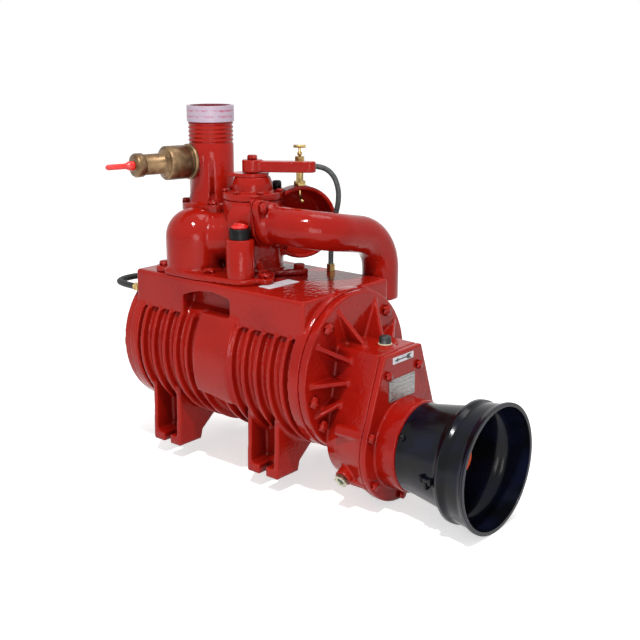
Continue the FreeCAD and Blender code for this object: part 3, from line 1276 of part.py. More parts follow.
def make_tap_handle():
    """T-handle on its stem."""
    low = TAP_SEAT + Z * (TAP_BASE_H + 12)
    top = TAP_BODY_H + TAP_NUT_H + TAP_STEM_H - 12
    stem = cyl(TAP_STEM_R, top, low)
    across = polar(LEVER_ANGLE)
    bar_z = low + Z * (top - TAP_BAR_R * 0.6)
    bar = cyl(TAP_BAR_R, TAP_BAR_L, bar_z - across * (TAP_BAR_L / 2), across)
    collar = cyl(TAP_STEM_R + 1.8, 5, low + Z * (TAP_BODY_H + TAP_NUT_H - 12 + 2))
    return join([stem, bar, collar])


def make_drip_pipe():
    """Thin bent pipe under the tap that drips inside the hood."""
    top = TAP_SEAT - Z * HOLE_GAP
    pts = [top, top - Z * (HOOD_WALL + 13), top - Z * (HOOD_WALL + 18) + HOOD_DIR * 22 - X * 4]
    return sweep(pts, tangent_radii(pts), DRIP_R)


def front_hose_points():
    """Route of the oil hose from the tap down to the tank, behind the elbow."""
    start = TAP_OUTLET + TAP_OUTLET_DIR * TAP_OUTLET_L
    foot = FRONT_FITTING + Z * FITTING_L
    return [start, start + TAP_OUTLET_DIR * 22, Vector(88, 101, 466), Vector(99, 103, 443),
            Vector(101, 101, 418), Vector(96, 96, 390), foot + Z * 42, foot]


def rear_hose_points():
    """Route of the oil hose that loops out level from the tank to the rear cover."""
    start, end = TANK_FITTING - X * FITTING_L, REAR_FITTING - X * FITTING_L
    mid_y = (start.y + end.y) / 2
    r = (end.y - start.y) / 2
    side = r * math.tan(math.radians(22.5))
    x0 = start.x - REAR_HOSE_LEG
    drop = (start.z - end.z) / 5
    return [start, Vector(x0 - r + side, start.y, start.z), Vector(x0 - r, mid_y - side, start.z - drop),
            Vector(x0 - r, mid_y + side, end.z + drop), Vector(x0 - r + side, end.y, end.z), end]


def make_hose_fittings():
    """Threaded ends where the two oil hoses go into the tank and the rear cover."""
    parts = [hexagon(FITTING_AF, FITTING_L, FRONT_FITTING),
             hexagon(FITTING_AF, FITTING_L, TANK_FITTING, -X),
             hexagon(FITTING_AF, FITTING_L, REAR_FITTING, -X)]
    return Part.makeCompound(parts)


def make_breather():
    """Breather plug: a pale washer under a knurled black cap."""
    cap = BREATHER_BOSS_R - 2.5
    profile = [(0, -10), (BREATHER_THREAD_R, -10), (BREATHER_THREAD_R, 0), (cap + 1.5, 0), (cap + 1.5, 2),
               (cap, 2), (cap, 11), (cap - 1.5, 13), (0, 13)]
    return turned(profile, Vector(BREATHER_X, 0, CASE_TOP_Z + BREATHER_BOSS_H), Z)


def make_level_plug():
    """Brass level plug: hexagon head with a round window, and its thread."""
    plug = hexagon(LEVEL_AF, LEVEL_HEAD, LEVEL_SEAT, LEVEL_DIR)
    thread = LEVEL_BOSS_L / 2
    plug = plug.fuse(cyl(LEVEL_THREAD_R, thread, LEVEL_SEAT - LEVEL_DIR * thread, LEVEL_DIR))
    window = 2.5
    floor = LEVEL_SEAT + LEVEL_DIR * (LEVEL_HEAD - window)
    return plug.cut(cyl(LEVEL_THREAD_R - 2, window, floor, LEVEL_DIR))


def make_vent_plug():
    base = VENT + Z * VALVE_COVER_Z
    return join([cyl(VENT_PLUG_R, VENT_PLUG_H, base), cyl(VENT_THREAD_R, 8, base - Z * 8),
                 cyl(VENT_PLUG_R - 1.5, 2, base + Z * VENT_PLUG_H)])


def make_name_plate():
    """Bare data plate on the gearbox cover."""
    x = CASE_JOINT_X
    y0 = -CASE_TOP_HALF + 10
    z0 = PTO_Z + BOSS_R + 1
    return block(x, x + PLATE_T, y0, y0 + PLATE_W, z0, z0 + PLATE_H)


def make_cover_bolts(face_x, direction):
    axis = X * direction
    length = COVER_T + M10_GRIP
    return Part.makeCompound([bolt(M10_AF, M10_HEAD, M10_R, length, Vector(face_x, p.y, p.z), axis)
                              for p in cover_bolt_points(0)])


def build():
    """All nodes by name."""
    nodes = {}
    nodes["housing"] = make_housing()
    nodes["front_cover"] = make_front_cover()
    nodes["rear_cover"] = make_rear_cover()
    nodes["rear_bearing_cap"] = make_rear_bearing_cap()
    nodes["rear_cap_bolts"] = Part.makeCompound(
        [bolt(M8_AF, M8_HEAD, M8_R, REAR_CAP_T + M8_GRIP, Vector(REAR_HUB_X - REAR_CAP_T, p.y, p.z), -X)
         for p in rear_cap_points(0)])
    nodes["front_cover_bolts"] = make_cover_bolts(COVER_FACE_X, 1)
    nodes["rear_cover_bolts"] = make_cover_bolts(REAR_X - COVER_T, -1)
    nodes["gearbox_cover"] = make_gearbox_cover()
    nodes["gearbox_cover_bolts"] = Part.makeCompound(
        [bolt(M8_AF, M8_HEAD, M8_R, CASE_COVER_T + CASE_BOLT_GRIP, Vector(CASE_JOINT_X, p.y, p.z), X)
         for p in case_face_at(CASE_BOLT_INSET)])
    nodes["breather_plug"] = make_breather()
    nodes["level_plug"] = make_level_plug()
    nodes["pto_shield"] = make_pto_shield()
    nodes["shield_screws"] = make_shield_screws()
    nodes["name_plate"] = make_name_plate()
    for end, x in (("front", ROTOR_BEARING_X), ("rear", REAR_BEARING_X)):
        ring_size = (ROTOR_BEARING_R, ROTOR_SHAFT_R, ROTOR_BEARING_W)
        nodes["rotor_bearing_" + end] = make_bearing(*ring_size, x, AXIS_Z)
    for end, x in (("front", CASE_FACE_X + 2), ("rear", INPUT_REAR_BEARING_X)):
        ring_size = (INPUT_BEARING_R, INPUT_SHAFT_R, INPUT_BEARING_W)
        nodes["input_bearing_" + end] = make_bearing(*ring_size, x, PTO_Z)
    nodes["input_seal"] = make_seal(INPUT_SEAL_R, INPUT_SHAFT_R, BOSS_FACE_X - SEAL_T, PTO_Z)
    nodes["valve_body"] = make_valve_body()
    nodes["valve_body_bolts"] = Part.makeCompound(
        [bolt(M10_AF, M10_HEAD, M10_R, MANIFOLD_T + M10_GRIP, p + Z * MANIFOLD_T, Z)
         for p in manifold_bolt_points()])
    nodes["valve_cover"] = make_valve_cover()
    nodes["valve_cover_bolts"] = Part.makeCompound(
        [bolt(M6_AF, M6_HEAD, M6_R, VALVE_COVER_T + M6_GRIP, p, Z)
         for p in valve_cover_bolt_points(VALVE_COVER_Z)])
    nodes["vent_plug"] = make_vent_plug()
    nodes["index_plate"] = make_index_plate()
    nodes["tank_port"] = make_tank_port()
    nodes["tank_port_bolts"] = Part.makeCompound(
        [bolt(M8_AF, M8_HEAD, M8_R, PORT_FLANGE_T + M8_GRIP, p + Z * PORT_FLANGE_T, Z)
         for p in port_bolt_points()])
    nodes["thread_cap"] = make_thread_cap()
    nodes["relief_body"] = make_relief_body()
    nodes["relief_bonnet"] = make_relief_bonnet()
    nodes["relief_spring"] = make_relief_spring()
    nodes["outlet_elbow"] = make_outlet_elbow()
    nodes["elbow_gasket"] = make_elbow_gasket()
    nodes["elbow_bolts"] = Part.makeCompound(
        [bolt(M10_AF, M10_HEAD, M10_R, ELBOW_FLANGE_T + ELBOW_BOLT_GRIP, p, ELBOW_DIR)
         for p in elbow_bolt_points()])
    nodes["ball_seat"] = make_ball_seat()
    nodes["filler_neck"] = make_filler_neck()
    nodes["filler_collar"] = make_filler_collar()
    nodes["drip_pipe"] = make_drip_pipe()
    nodes["tap_body"] = make_tap_body()
    nodes["tap_nut"] = make_tap_nut()
    nodes["hose_fittings"] = make_hose_fittings()
    nodes["oil_hose_front"] = sweep(front_hose_points(), tangent_radii(front_hose_points()), HOSE_R)
    nodes["oil_hose_rear"] = sweep(rear_hose_points(), tangent_radii(rear_hose_points()), REAR_HOSE_R)
    nodes["rotor_shaft"] = make_rotor_shaft()
    nodes["rotor"] = make_rotor()
    nodes["vanes"] = make_vanes()
    nodes["pinion"] = make_pinion()
    nodes["input_shaft"] = make_input_shaft()
    nodes["gear_wheel"] = make_gear_wheel()
    nodes["spline_cap"] = make_spline_cap()
    nodes["valve_plug"] = make_valve_plug()
    nodes["lever"] = make_lever()
    nodes["lever_bolt"] = make_lever_bolt()
    nodes["relief_poppet"] = make_relief_poppet()
    nodes["relief_tip"] = make_relief_tip()
    nodes["check_ball"] = make_check_ball()
    nodes["filler_cap"] = make_filler_cap()
    nodes["tap_handle"] = make_tap_handle()
    return nodes


os.makedirs("parts", exist_ok=True)
for name, shape in build().items():
    if not shape.isValid() or shape.Volume <= 0:
        print("check", name, "valid", shape.isValid(), "volume", round(shape.Volume))
    shape.exportStep("parts/" + name + ".step")
for name, points in (("front hose", front_hose_points()), ("rear hose", rear_hose_points())):
    print(name, "length", round(route(points, tangent_radii(points)).Length, 1),
          "radii", [round(r, 1) for r in tangent_radii(points)])
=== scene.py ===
import json
import math

import bmesh
import bpy
from mathutils import Matrix, Vector
from mathutils.bvhtree import BVHTree


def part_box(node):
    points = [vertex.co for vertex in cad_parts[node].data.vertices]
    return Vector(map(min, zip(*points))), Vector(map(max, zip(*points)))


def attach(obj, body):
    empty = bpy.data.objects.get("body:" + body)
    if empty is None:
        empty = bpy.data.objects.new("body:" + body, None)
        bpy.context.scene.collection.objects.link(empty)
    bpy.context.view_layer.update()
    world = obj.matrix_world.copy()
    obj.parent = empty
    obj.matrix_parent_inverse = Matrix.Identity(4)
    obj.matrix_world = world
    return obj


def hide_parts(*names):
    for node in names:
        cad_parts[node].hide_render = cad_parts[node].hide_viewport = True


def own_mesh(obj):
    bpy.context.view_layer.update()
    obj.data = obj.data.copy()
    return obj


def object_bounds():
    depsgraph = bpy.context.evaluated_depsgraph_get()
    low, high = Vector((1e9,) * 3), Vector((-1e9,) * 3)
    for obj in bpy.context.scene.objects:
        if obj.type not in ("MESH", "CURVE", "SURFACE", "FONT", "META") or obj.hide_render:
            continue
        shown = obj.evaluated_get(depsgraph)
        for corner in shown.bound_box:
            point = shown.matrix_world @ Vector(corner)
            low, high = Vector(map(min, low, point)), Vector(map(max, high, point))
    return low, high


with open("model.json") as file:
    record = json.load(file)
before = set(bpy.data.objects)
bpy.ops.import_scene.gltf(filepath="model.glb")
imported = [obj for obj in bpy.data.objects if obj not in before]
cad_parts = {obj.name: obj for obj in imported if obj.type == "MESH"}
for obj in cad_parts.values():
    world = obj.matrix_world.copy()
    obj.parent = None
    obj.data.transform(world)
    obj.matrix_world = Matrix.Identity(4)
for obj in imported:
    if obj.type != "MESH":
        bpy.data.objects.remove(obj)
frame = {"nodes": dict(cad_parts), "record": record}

cad_box = [list(corner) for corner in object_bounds()]


# The pump is sprayed all over with one thick coat of deep red enamel once it is bolted together, so
# its bolts and seams carry the same paint. The sand texture of the castings shows through the coat,
# which sags a little as it dries. Deep hollows, found by an occlusion reading, are painted almost
# black as painted shade.

class Value:
    """A value inside a material: sums and products of it become Math nodes."""

    def __init__(self, finish, socket):
        self.finish = finish
        self.socket = socket

    def math(self, operation, *others):
        return self.finish.add("ShaderNodeMath", {"operation": operation}, self, *others)

    def __add__(self, other):
        return self.math("ADD", other)

    def __mul__(self, other):
        return self.math("MULTIPLY", other)

    __radd__ = __add__
    __rmul__ = __mul__


class Finish:
    """One finish of the pump: a Principled shader and what is wired into it."""

    def __init__(self, name, **sockets):
        self.material = bpy.data.materials.new(name)
        self.material.use_nodes = True
        self.tree = self.material.node_tree
        self.shader = self.tree.nodes["Principled BSDF"]
        self.set(**sockets)
        self.place = self.add("ShaderNodeTexCoord", {}, out="Object")

    def feed(self, socket, value):
        if isinstance(value, Value):
            self.tree.links.new(value.socket, socket)
        else:
            socket.default_value = value

    def set(self, **sockets):
        for name, value in sockets.items():
            self.feed(self.shader.inputs[name.replace("_", " ")], value)

    def add(self, kind, settings, *inputs, out=0, **named):
        """A new node: its kind, its settings, then the values or links of its sockets."""
        node = self.tree.nodes.new(kind)
        for name, value in settings.items():
            setattr(node, name, value)
        for index, value in enumerate(inputs):
            self.feed(node.inputs[index], value)
        for name, value in named.items():
            self.feed(node.inputs[name], value)
        return Value(self, node.outputs[out])

    def noise(self, scale, detail):
        return self.add("ShaderNodeTexNoise", {}, Vector=self.place, Scale=scale, Detail=detail)

    def between(self, value, low, high):
        """Runs from 0 to 1 as value goes from low to high."""
        return self.add("ShaderNodeMapRange", {}, value, low, high)

    def blend(self, first, second, share):
        """The colour between two colours, by the second one's share."""
        mix = self.tree.nodes.new("ShaderNodeMix")
        mix.data_type = "RGBA"
        share_socket, first_socket, second_socket = mix.inputs[0], mix.inputs[6], mix.inputs[7]
        self.feed(share_socket, share)
        self.feed(first_socket, first)
        self.feed(second_socket, second)
        return Value(self, mix.outputs[2])

    def mottle(self, clean, dull, marks, low=0.4, high=0.7):
        """Feeds the colour: clean, and dull where the marks rise past low. The enamel passes it a painted
        shade colour as clean and an occlusion reading as its marks.
        """
        self.set(Base_Color=self.blend(clean, dull, self.between(marks, low, high)))

    def grain(self, height, depth, strength, edge=None):
        """Feeds the normal: a fine bump, over edges rounded by the radius that edge gives."""
        sockets = {"Strength": strength, "Distance": depth, "Height": height}
        if edge:
            sockets["Normal"] = self.add("ShaderNodeBevel", {"samples": 6}, edge)
        self.set(Normal=self.add("ShaderNodeBump", {}, **sockets))


def rgb(red, green, blue):
    """A colour given in the usual 0 to 255 steps, as the shader wants it."""
    steps = [c / 255 for c in (red, green, blue)]
    return tuple(c / 12.92 if c <= 0.04045 else ((c + 0.055) / 1.055) ** 2.4 for c in steps) + (1.0,)


enamel_red = rgb(150, 21, 11)
enamel_dark = rgb(136, 15, 9)
enamel_light = rgb(160, 29, 16)
enamel_painted_shade = rgb(34, 2, 3)
painted_shade_reach = 0.07
coat_depth = 0.0011
enamel = Finish("red_enamel", Specular_IOR_Level=0.17)
sand = enamel.noise(420.0, 2.0)
sag = enamel.noise(150.0, 1.0)
clouds = enamel.noise(11.0, 3.0)
# Creases and hollows, found by an occlusion reading, are painted near black: this is painted shade.
painted_shade_openness = enamel.add("ShaderNodeAmbientOcclusion", {"samples": 4}, out="AO", Distance=painted_shade_reach)
shade = enamel.blend(enamel_dark, enamel_red, enamel.between(clouds, 0.30, 0.52))
shade = enamel.blend(shade, enamel_light, enamel.between(clouds, 0.55, 0.80) * 0.5)
enamel.mottle(enamel_painted_shade, shade, painted_shade_openness, 0.10, 0.42)
enamel.set(Roughness=0.06 + sand * 0.08)
enamel.grain(sand * 0.12 + sag * 0.6, coat_depth, 0.8)


# The large castings are grey iron from sand moulds. Each is skinned at its own grain, in metres, and
# the skin is smoothed a few rounds, which rounds every edge, corner and root as a foundry does.
nodes = frame["nodes"]
behaviour = frame["record"]["behaviour"]
body_of_node = {node: body for body, members in behaviour["bodies"].items() for node in members}


def soften(piece):
    """Shades a piece smooth, with a crease wherever its faces meet at a clear angle."""
    piece.data.polygons.foreach_set("use_smooth", [True] * len(piece.data.polygons))
    piece.data.set_sharp_from_angle(angle=math.radians(32.0))


def join_faces(node):
    """A copy of a part's mesh with its loose triangles merged, so that it can be shaded smooth."""
    mesh = nodes[node].data.copy()
    shape = bmesh.new()
    shape.from_mesh(mesh)
    bmesh.ops.remove_doubles(shape, verts=shape.verts, dist=0.00002)
    bmesh.ops.dissolve_degenerate(shape, edges=shape.edges, dist=0.00001)
    shape.to_mesh(mesh)
    shape.free()
    mesh.materials.clear()
    piece = bpy.data.objects.new(node + "_finished", mesh)
    bpy.context.scene.collection.objects.link(piece)
    soften(piece)
    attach(piece, body_of_node[node])
    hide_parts(node)
    return piece


def close_wall(piece):
    """Carries the valve chamber's round wall on to the outlet's duct, and out to the duct's rim."""
    inside, outside, rim = 0.0435, 0.0499, 0.0565
    low, high = 0.373, 0.413
    start, sweep = math.radians(253.0), math.radians(24.0)
    shape = bmesh.new()
    corners = [shape.verts.new((radius * math.cos(start), radius * math.sin(start), height))
               for radius, height in ((inside, low), (outside, low), (outside, high), (inside, high))]
    section = shape.faces.new(corners)
    bmesh.ops.spin(shape, geom=[*section.verts, *section.edges, section], axis=(0.0, 0.0, 1.0),
                   cent=(0.0, 0.0, 0.0), angle=sweep, steps=8)
    for vertex in shape.verts:
        if vertex.co.x > 0.0 and vertex.co.xy.length > (inside + outside) / 2:
            vertex.co.x *= rim / outside
            vertex.co.y *= rim / outside
    bmesh.ops.recalc_face_normals(shape, faces=shape.faces)
    shape.from_mesh(piece.data)
    shape.to_mesh(piece.data)
    shape.free()


def evaluated(piece):
    return piece.evaluated_get(bpy.context.evaluated_depsgraph_get())


def cast(node, grain, rounds, most_triangles=120000):
    """A part's shape as the foundry gives it, thinned to a sensible number of triangles."""
    piece = join_faces(node)
    if node == "valve_body":
        close_wall(piece)
    skin = piece.modifiers.new("skin", "REMESH")
    skin.mode = "VOXEL"
    skin.voxel_size = grain
    skin.use_smooth_shade = True
    rounding = piece.modifiers.new("rounding", "SMOOTH")
    rounding.factor = 0.5
    rounding.iterations = rounds
    squares = len(evaluated(piece).data.polygons)
    thin = piece.modifiers.new("thin", "DECIMATE")
    thin.ratio = min(1.0, most_triangles / (2.0 * squares))
    even = piece.modifiers.new("even", "WEIGHTED_NORMAL")
    even.weight = 60
    finished = bpy.data.meshes.new_from_object(evaluated(piece))
    piece.modifiers.clear()
    piece.data = finished
    return piece


for node, grain, rounds in (("housing", 0.0022, 5), ("front_cover", 0.0018, 4), ("rear_cover", 0.0018, 4),
                            ("gearbox_cover", 0.0017, 3), ("valve_body", 0.0019, 5),
                            ("outlet_elbow", 0.0020, 3), ("rear_bearing_cap", 0.0014, 3),
                            ("valve_cover", 0.0013, 4), ("lever", 0.0011, 12), ("index_plate", 0.0010, 3)):
    cast(node, grain, rounds).data.materials.append(enamel.material)


# The tank stub and the filler's neck are turned, and the elbow's gasket is cut from sheet. They keep
# their crisp edges and are painted with the castings that they are bolted to.
def dress(finish, *names):
    """Gives each named part its finish."""
    for node in names:
        join_faces(node).data.materials.append(finish.material)


dress(enamel, "tank_port", "filler_neck", "elbow_gasket")


# Every hexagon bolt was put in before spraying, so it wears the same enamel, a little thinner and
# darker on the flats where a spanner has rubbed it.
bolt_enamel = Finish("bolt_enamel", Specular_IOR_Level=0.22)
rub = bolt_enamel.noise(140.0, 3.0)
bolt_enamel.mottle(enamel_dark, enamel_red, rub, 0.35, 0.6)
bolt_enamel.set(Roughness=0.18 + rub * 0.16)
bolt_enamel.grain(rub, 0.0003, 0.4, edge=0.0008)
dress(bolt_enamel, "front_cover_bolts", "rear_cover_bolts", "rear_cap_bolts", "gearbox_cover_bolts",
      "valve_body_bolts", "valve_cover_bolts", "tank_port_bolts", "elbow_bolts", "lever_bolt")


# The relief valve is turned from brass bar that has dulled to a brown grey, with fine turning marks.
brass_dull = rgb(134, 108, 78)
brass_brown = rgb(92, 70, 50)
brass = Finish("dull_brass", Metallic=0.85)
tarnish = brass.noise(60.0, 4.0)
turning = brass.noise(900.0, 1.0)
brass.mottle(brass_dull, brass_brown, tarnish, 0.40, 0.66)
brass.set(Roughness=0.30 + tarnish * 0.22)
brass.grain(turning, 0.0002, 0.3, edge=0.0008)
dress(brass, "relief_body", "relief_bonnet")


# The oil tap, the hose fittings and the small parts inside the valves are brass that is still bright,
# only smeared by hands and oil.
brass_yellow = rgb(208, 180, 118)
brass_smeared = rgb(150, 122, 74)
bright_brass = Finish("bright_brass", Metallic=1.0)
smears = bright_brass.noise(150.0, 3.0)
bright_brass.mottle(brass_yellow, brass_smeared, smears)
bright_brass.set(Roughness=0.24 + smears * 0.2)
bright_brass.grain(smears, 0.0002, 0.3, edge=0.0005)
dress(bright_brass, "tap_body", "tap_handle", "tap_nut", "hose_fittings", "drip_pipe", "relief_poppet",
      "ball_seat")


# The oil level plug is nickel plated and screwed into the gear case. It has a small round sight glass,
# through which the oil looks dark green.
glass_place = (0.264, -0.0931, 0.0276)
glass_radius = 0.0060
glass_edge = 0.0064
level_nickel = Finish("level_nickel")
speck = level_nickel.noise(330.0, 2.0)
from_glass = level_nickel.add("ShaderNodeVectorMath", {"operation": "DISTANCE"}, level_nickel.place,
                              glass_place, out="Value")
plated = level_nickel.between(from_glass, glass_radius, glass_edge)
plating = level_nickel.blend(rgb(190, 190, 168), rgb(140, 138, 116), level_nickel.between(speck, 0.4, 0.65))
oil = level_nickel.blend(rgb(46, 58, 44), rgb(104, 112, 92), level_nickel.between(speck, 0.42, 0.62))
level_nickel.set(Base_Color=level_nickel.blend(oil, plating, plated), Metallic=plated * 0.9)
level_nickel.set(Roughness=0.1 + speck * 0.3)
level_nickel.grain(speck, 0.0002, 0.3, edge=0.0006)
dress(level_nickel, "level_plug")


# The shaft guard is a gloss black plastic moulding that widens to a rolled bead and an open mouth. It
# is screwed over the collar of the gear case cover.
black_gloss = rgb(7, 8, 11)
black_blue = rgb(13, 16, 34)
guard_black = Finish("guard_black", Specular_IOR_Level=0.16)
haze = guard_black.noise(24.0, 3.0)
pores = guard_black.noise(1300.0, 1.0)
guard_black.mottle(black_gloss, black_blue, haze)
guard_black.set(Roughness=0.12 + haze * 0.12)
guard_black.grain(pores, 0.0001, 0.3, edge=0.0012)
dress(guard_black, "pto_shield")


# On its near side the guard has a small catch for its grease window: a bar with two lugs and a tongue,
# in the same black plastic, which stands on the tapering wall.
def make_piece(name, shape, finish):
    """Turns a finished bmesh into a piece that wears the given finish."""
    mesh = bpy.data.meshes.new(name)
    shape.to_mesh(mesh)
    shape.free()
    piece = bpy.data.objects.new(name, mesh)
    bpy.context.scene.collection.objects.link(piece)
    piece.data.materials.append(finish.material)
    return piece


guard_low, guard_high = [Vector(corner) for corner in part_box("pto_shield")]
guard_z = (guard_low.z + guard_high.z) / 2
catch_x = guard_low.x + 0.064
catch_sunk = 0.004
catch_edge = 0.0008
wall_slope = Matrix.Rotation(math.radians(-8.0), 3, "Z")
wall_turn = Matrix.Rotation(math.radians(6.0), 3, "X")
shape = bmesh.new()
shape.from_mesh(nodes["pto_shield"].data)
outside = Vector((catch_x, guard_low.y - 0.02, guard_z))
wall = BVHTree.FromBMesh(shape).ray_cast(outside, Vector((0.0, 1.0, 0.0)))[0]
shape.free()
shape = bmesh.new()
for along, across, length, width, rise in ((0.0, 0.0, 0.024, 0.0050, 0.0050),
                                           (-0.009, 0.0, 0.005, 0.0100, 0.0065),
                                           (0.009, 0.0, 0.005, 0.0100, 0.0065),
                                           (-0.002, -0.0095, 0.0065, 0.0140, 0.0040)):
    block = bmesh.ops.create_cube(shape, size=1.0)["verts"]
    bmesh.ops.scale(shape, vec=(length, rise + catch_sunk, width), verts=block)
    bmesh.ops.translate(shape, vec=(along, -(rise - catch_sunk) / 2, across), verts=block)
bmesh.ops.bevel(shape, geom=shape.edges, offset=catch_edge, segments=2, profile=0.5, affect="EDGES",
                material=-1)
bmesh.ops.rotate(shape, cent=(0.0, 0.0, 0.0), matrix=wall_slope, verts=shape.verts)
bmesh.ops.translate(shape, vec=(wall.x, wall.y, 0.0), verts=shape.verts)
bmesh.ops.rotate(shape, cent=(0.0, 0.0, 0.0), matrix=wall_turn, verts=shape.verts)
bmesh.ops.translate(shape, vec=(0.0, 0.0, guard_z), verts=shape.verts)
guard_catch = make_piece("guard_catch", shape, guard_black)
soften(guard_catch)
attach(guard_catch, "pump")


# Small dull black pieces: the vent plug, the filler's collar, the shaft's seal, the check valve's
# rubber ball and the guard's screws.
plain_black = Finish("plain_black", Specular_IOR_Level=0.18)
scuff = plain_black.noise(300.0, 2.0)
plain_black.mottle(rgb(5, 5, 6), rgb(13, 13, 14), scuff)
plain_black.set(Roughness=0.3 + scuff * 0.2)
plain_black.grain(scuff, 0.0002, 0.4, edge=0.0008)
dress(plain_black, "vent_plug", "filler_collar", "input_seal", "check_ball", "shield_screws")


# The relief valve's pull tip and the oil filler's cap are glossy bright red plastic. The cap over the
# shaft's splines is a softer orange one, pushed on for transport.
tip_red = Finish("tip_red", Coat_Weight=0.3)
tint = tip_red.noise(80.0, 2.0)
tip_red.mottle(rgb(222, 30, 20), rgb(188, 20, 16), tint)
tip_red.set(Roughness=0.26 + tint * 0.12)
tip_red.grain(tint, 0.0002, 0.2, edge=0.0008)
dress(tip_red, "relief_tip", "filler_cap")

cap_orange = Finish("cap_orange")
tint = cap_orange.noise(80.0, 2.0)
cap_orange.mottle(rgb(222, 84, 40), rgb(196, 62, 30), tint)
cap_orange.set(Roughness=0.4 + tint * 0.12)
cap_orange.grain(tint, 0.0002, 0.2, edge=0.0008)
dress(cap_orange, "spline_cap")


# The thread on the tank stub is kept clean by a thin push-on cap of milky pinkish plastic, with pink
# streaks where it pressed against the painted thread.
milky_clear = rgb(172, 156, 172)
milky_pink = rgb(168, 88, 114)
turns_per_metre = 640.0
milky = Finish("milky_plastic")
cloud = milky.noise(70.0, 3.0)
height = milky.add("ShaderNodeSeparateXYZ", {}, milky.place, out="Z")
turns = (height * turns_per_metre + cloud * 5.0).math("SINE")
streak = milky.between(turns, 0.2, 1.0) * milky.between(cloud, 0.40, 0.60)
milky.set(Base_Color=milky.blend(milky_clear, milky_pink, streak))
milky.set(Roughness=0.32 + cloud * 0.14)
milky.grain(cloud, 0.0003, 0.3, edge=0.0008)
dress(milky, "thread_cap")


# The shafts, gears and bearings are bare machined steel, ground where they run.
steel = Finish("machined_steel", Metallic=1.0)
marks = steel.noise(400.0, 2.0)
steel.mottle(rgb(176, 176, 178), rgb(128, 128, 132), marks)
steel.set(Roughness=0.26 + marks * 0.2)
steel.grain(marks, 0.0001, 0.3, edge=0.0006)
dress(steel, "input_shaft", "rotor_shaft", "gear_wheel", "pinion", "rotor_bearing_front",
      "rotor_bearing_rear", "input_bearing_front", "input_bearing_rear")

# The relief valve's steel spring. The share of its length that would stay when the poppet lifts fully,
# measured along the way the poppet moves, is worked out here but not applied to it.
lift = next(joint for joint in behaviour["joints"] if joint["name"] == "relief_lift")
lift_axis = Vector(lift["axis"]).normalized()
spring = join_faces("relief_spring")
spring.data.materials.append(steel.material)
along = [vertex.co.dot(lift_axis) for vertex in spring.data.vertices]
spring_keep = 1.0 - lift["range_m"][1] / (max(along) - min(along))
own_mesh(spring)


# The rotor and the changeover valve's plug are machined from cast iron. The vanes that slide in the
# rotor are cut from brown fibre board.
iron = Finish("machined_iron", Metallic=0.8)
marks = iron.noise(160.0, 3.0)
iron.mottle(rgb(110, 110, 112), rgb(74, 74, 78), marks)
iron.set(Roughness=0.4 + marks * 0.2)
iron.grain(marks, 0.0002, 0.3, edge=0.0008)
dress(iron, "rotor", "valve_plug")

vane_brown = Finish("vane_fibre")
weave = vane_brown.noise(500.0, 2.0)
vane_brown.mottle(rgb(96, 76, 48), rgb(64, 50, 34), weave)
vane_brown.set(Roughness=0.6 + weave * 0.2)
dress(vane_brown, "vanes")


# The rating plate is a thin stamped aluminium sheet with a raised rim and bare fields, held on the
# gear case cover by two dome-headed rivets.
plate_corner = 0.0025
rim_width = 0.0014
rim_height = 0.0003
row_cuts = (0.2, 0.4, 0.6, 0.8)
column_cuts = (0.33, 0.67)
smallest_field = 0.00006
field_margin = 0.0012
field_height = 0.0006
rivet_places = (0.06, 0.94)
rivet_radius = 0.0019
bare_plate = Finish("bare_plate", Metallic=0.8)
brush = bare_plate.noise(700.0, 3.0)
bare_plate.mottle(rgb(168, 166, 164), rgb(122, 121, 120), brush, 0.4, 0.66)
bare_plate.set(Roughness=0.30 + brush * 0.25)
bare_plate.grain(brush, 0.0003, 0.5)
plate_low, plate_high = [Vector(corner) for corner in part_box("name_plate")]
plate_size = plate_high - plate_low
shape = bmesh.new()
bmesh.ops.create_cube(shape, size=1.0)
bmesh.ops.scale(shape, vec=plate_size, verts=shape.verts)
bmesh.ops.translate(shape, vec=(plate_low + plate_high) / 2, verts=shape.verts)
corners = [edge for edge in shape.edges if abs((edge.verts[0].co - edge.verts[1].co).x) > plate_size.x / 2]
bmesh.ops.bevel(shape, geom=corners, offset=plate_corner, segments=3, profile=0.5, affect="EDGES",
                material=-1)
front = max(shape.faces, key=lambda face: face.calc_center_median().x)
bmesh.ops.inset_individual(shape, faces=[front], thickness=rim_width)
bmesh.ops.inset_individual(shape, faces=[front], thickness=rim_height, depth=-rim_height)
cuts = [((0.0, 0.0, plate_low.z + plate_size.z * share), (0.0, 0.0, 1.0)) for share in row_cuts]
cuts += [((0.0, plate_low.y + plate_size.y * share, 0.0), (0.0, 1.0, 0.0)) for share in column_cuts]
for place, across in cuts:
    whole = shape.verts[:] + shape.edges[:] + shape.faces[:]
    bmesh.ops.bisect_plane(shape, geom=whole, plane_co=place, plane_no=across)
fields = [face for face in shape.faces if face.normal.x > 0.9 and face.calc_area() > smallest_field]
bmesh.ops.inset_individual(shape, faces=fields, thickness=field_margin)
bmesh.ops.inset_individual(shape, faces=fields, thickness=field_height, depth=field_height)
for side in rivet_places:
    spot = Vector((plate_high.x, plate_low.y + plate_size.y * side, (plate_low.z + plate_high.z) / 2))
    head = bmesh.ops.create_uvsphere(shape, u_segments=16, v_segments=8, radius=rivet_radius)["verts"]
    bmesh.ops.scale(shape, vec=(0.6, 1.0, 1.0), verts=head)
    bmesh.ops.translate(shape, vec=spot, verts=head)
bmesh.ops.recalc_face_normals(shape, faces=shape.faces)
rating_plate = make_piece("rating_plate", shape, bare_plate)
soften(rating_plate)
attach(rating_plate, "pump")
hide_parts("name_plate")


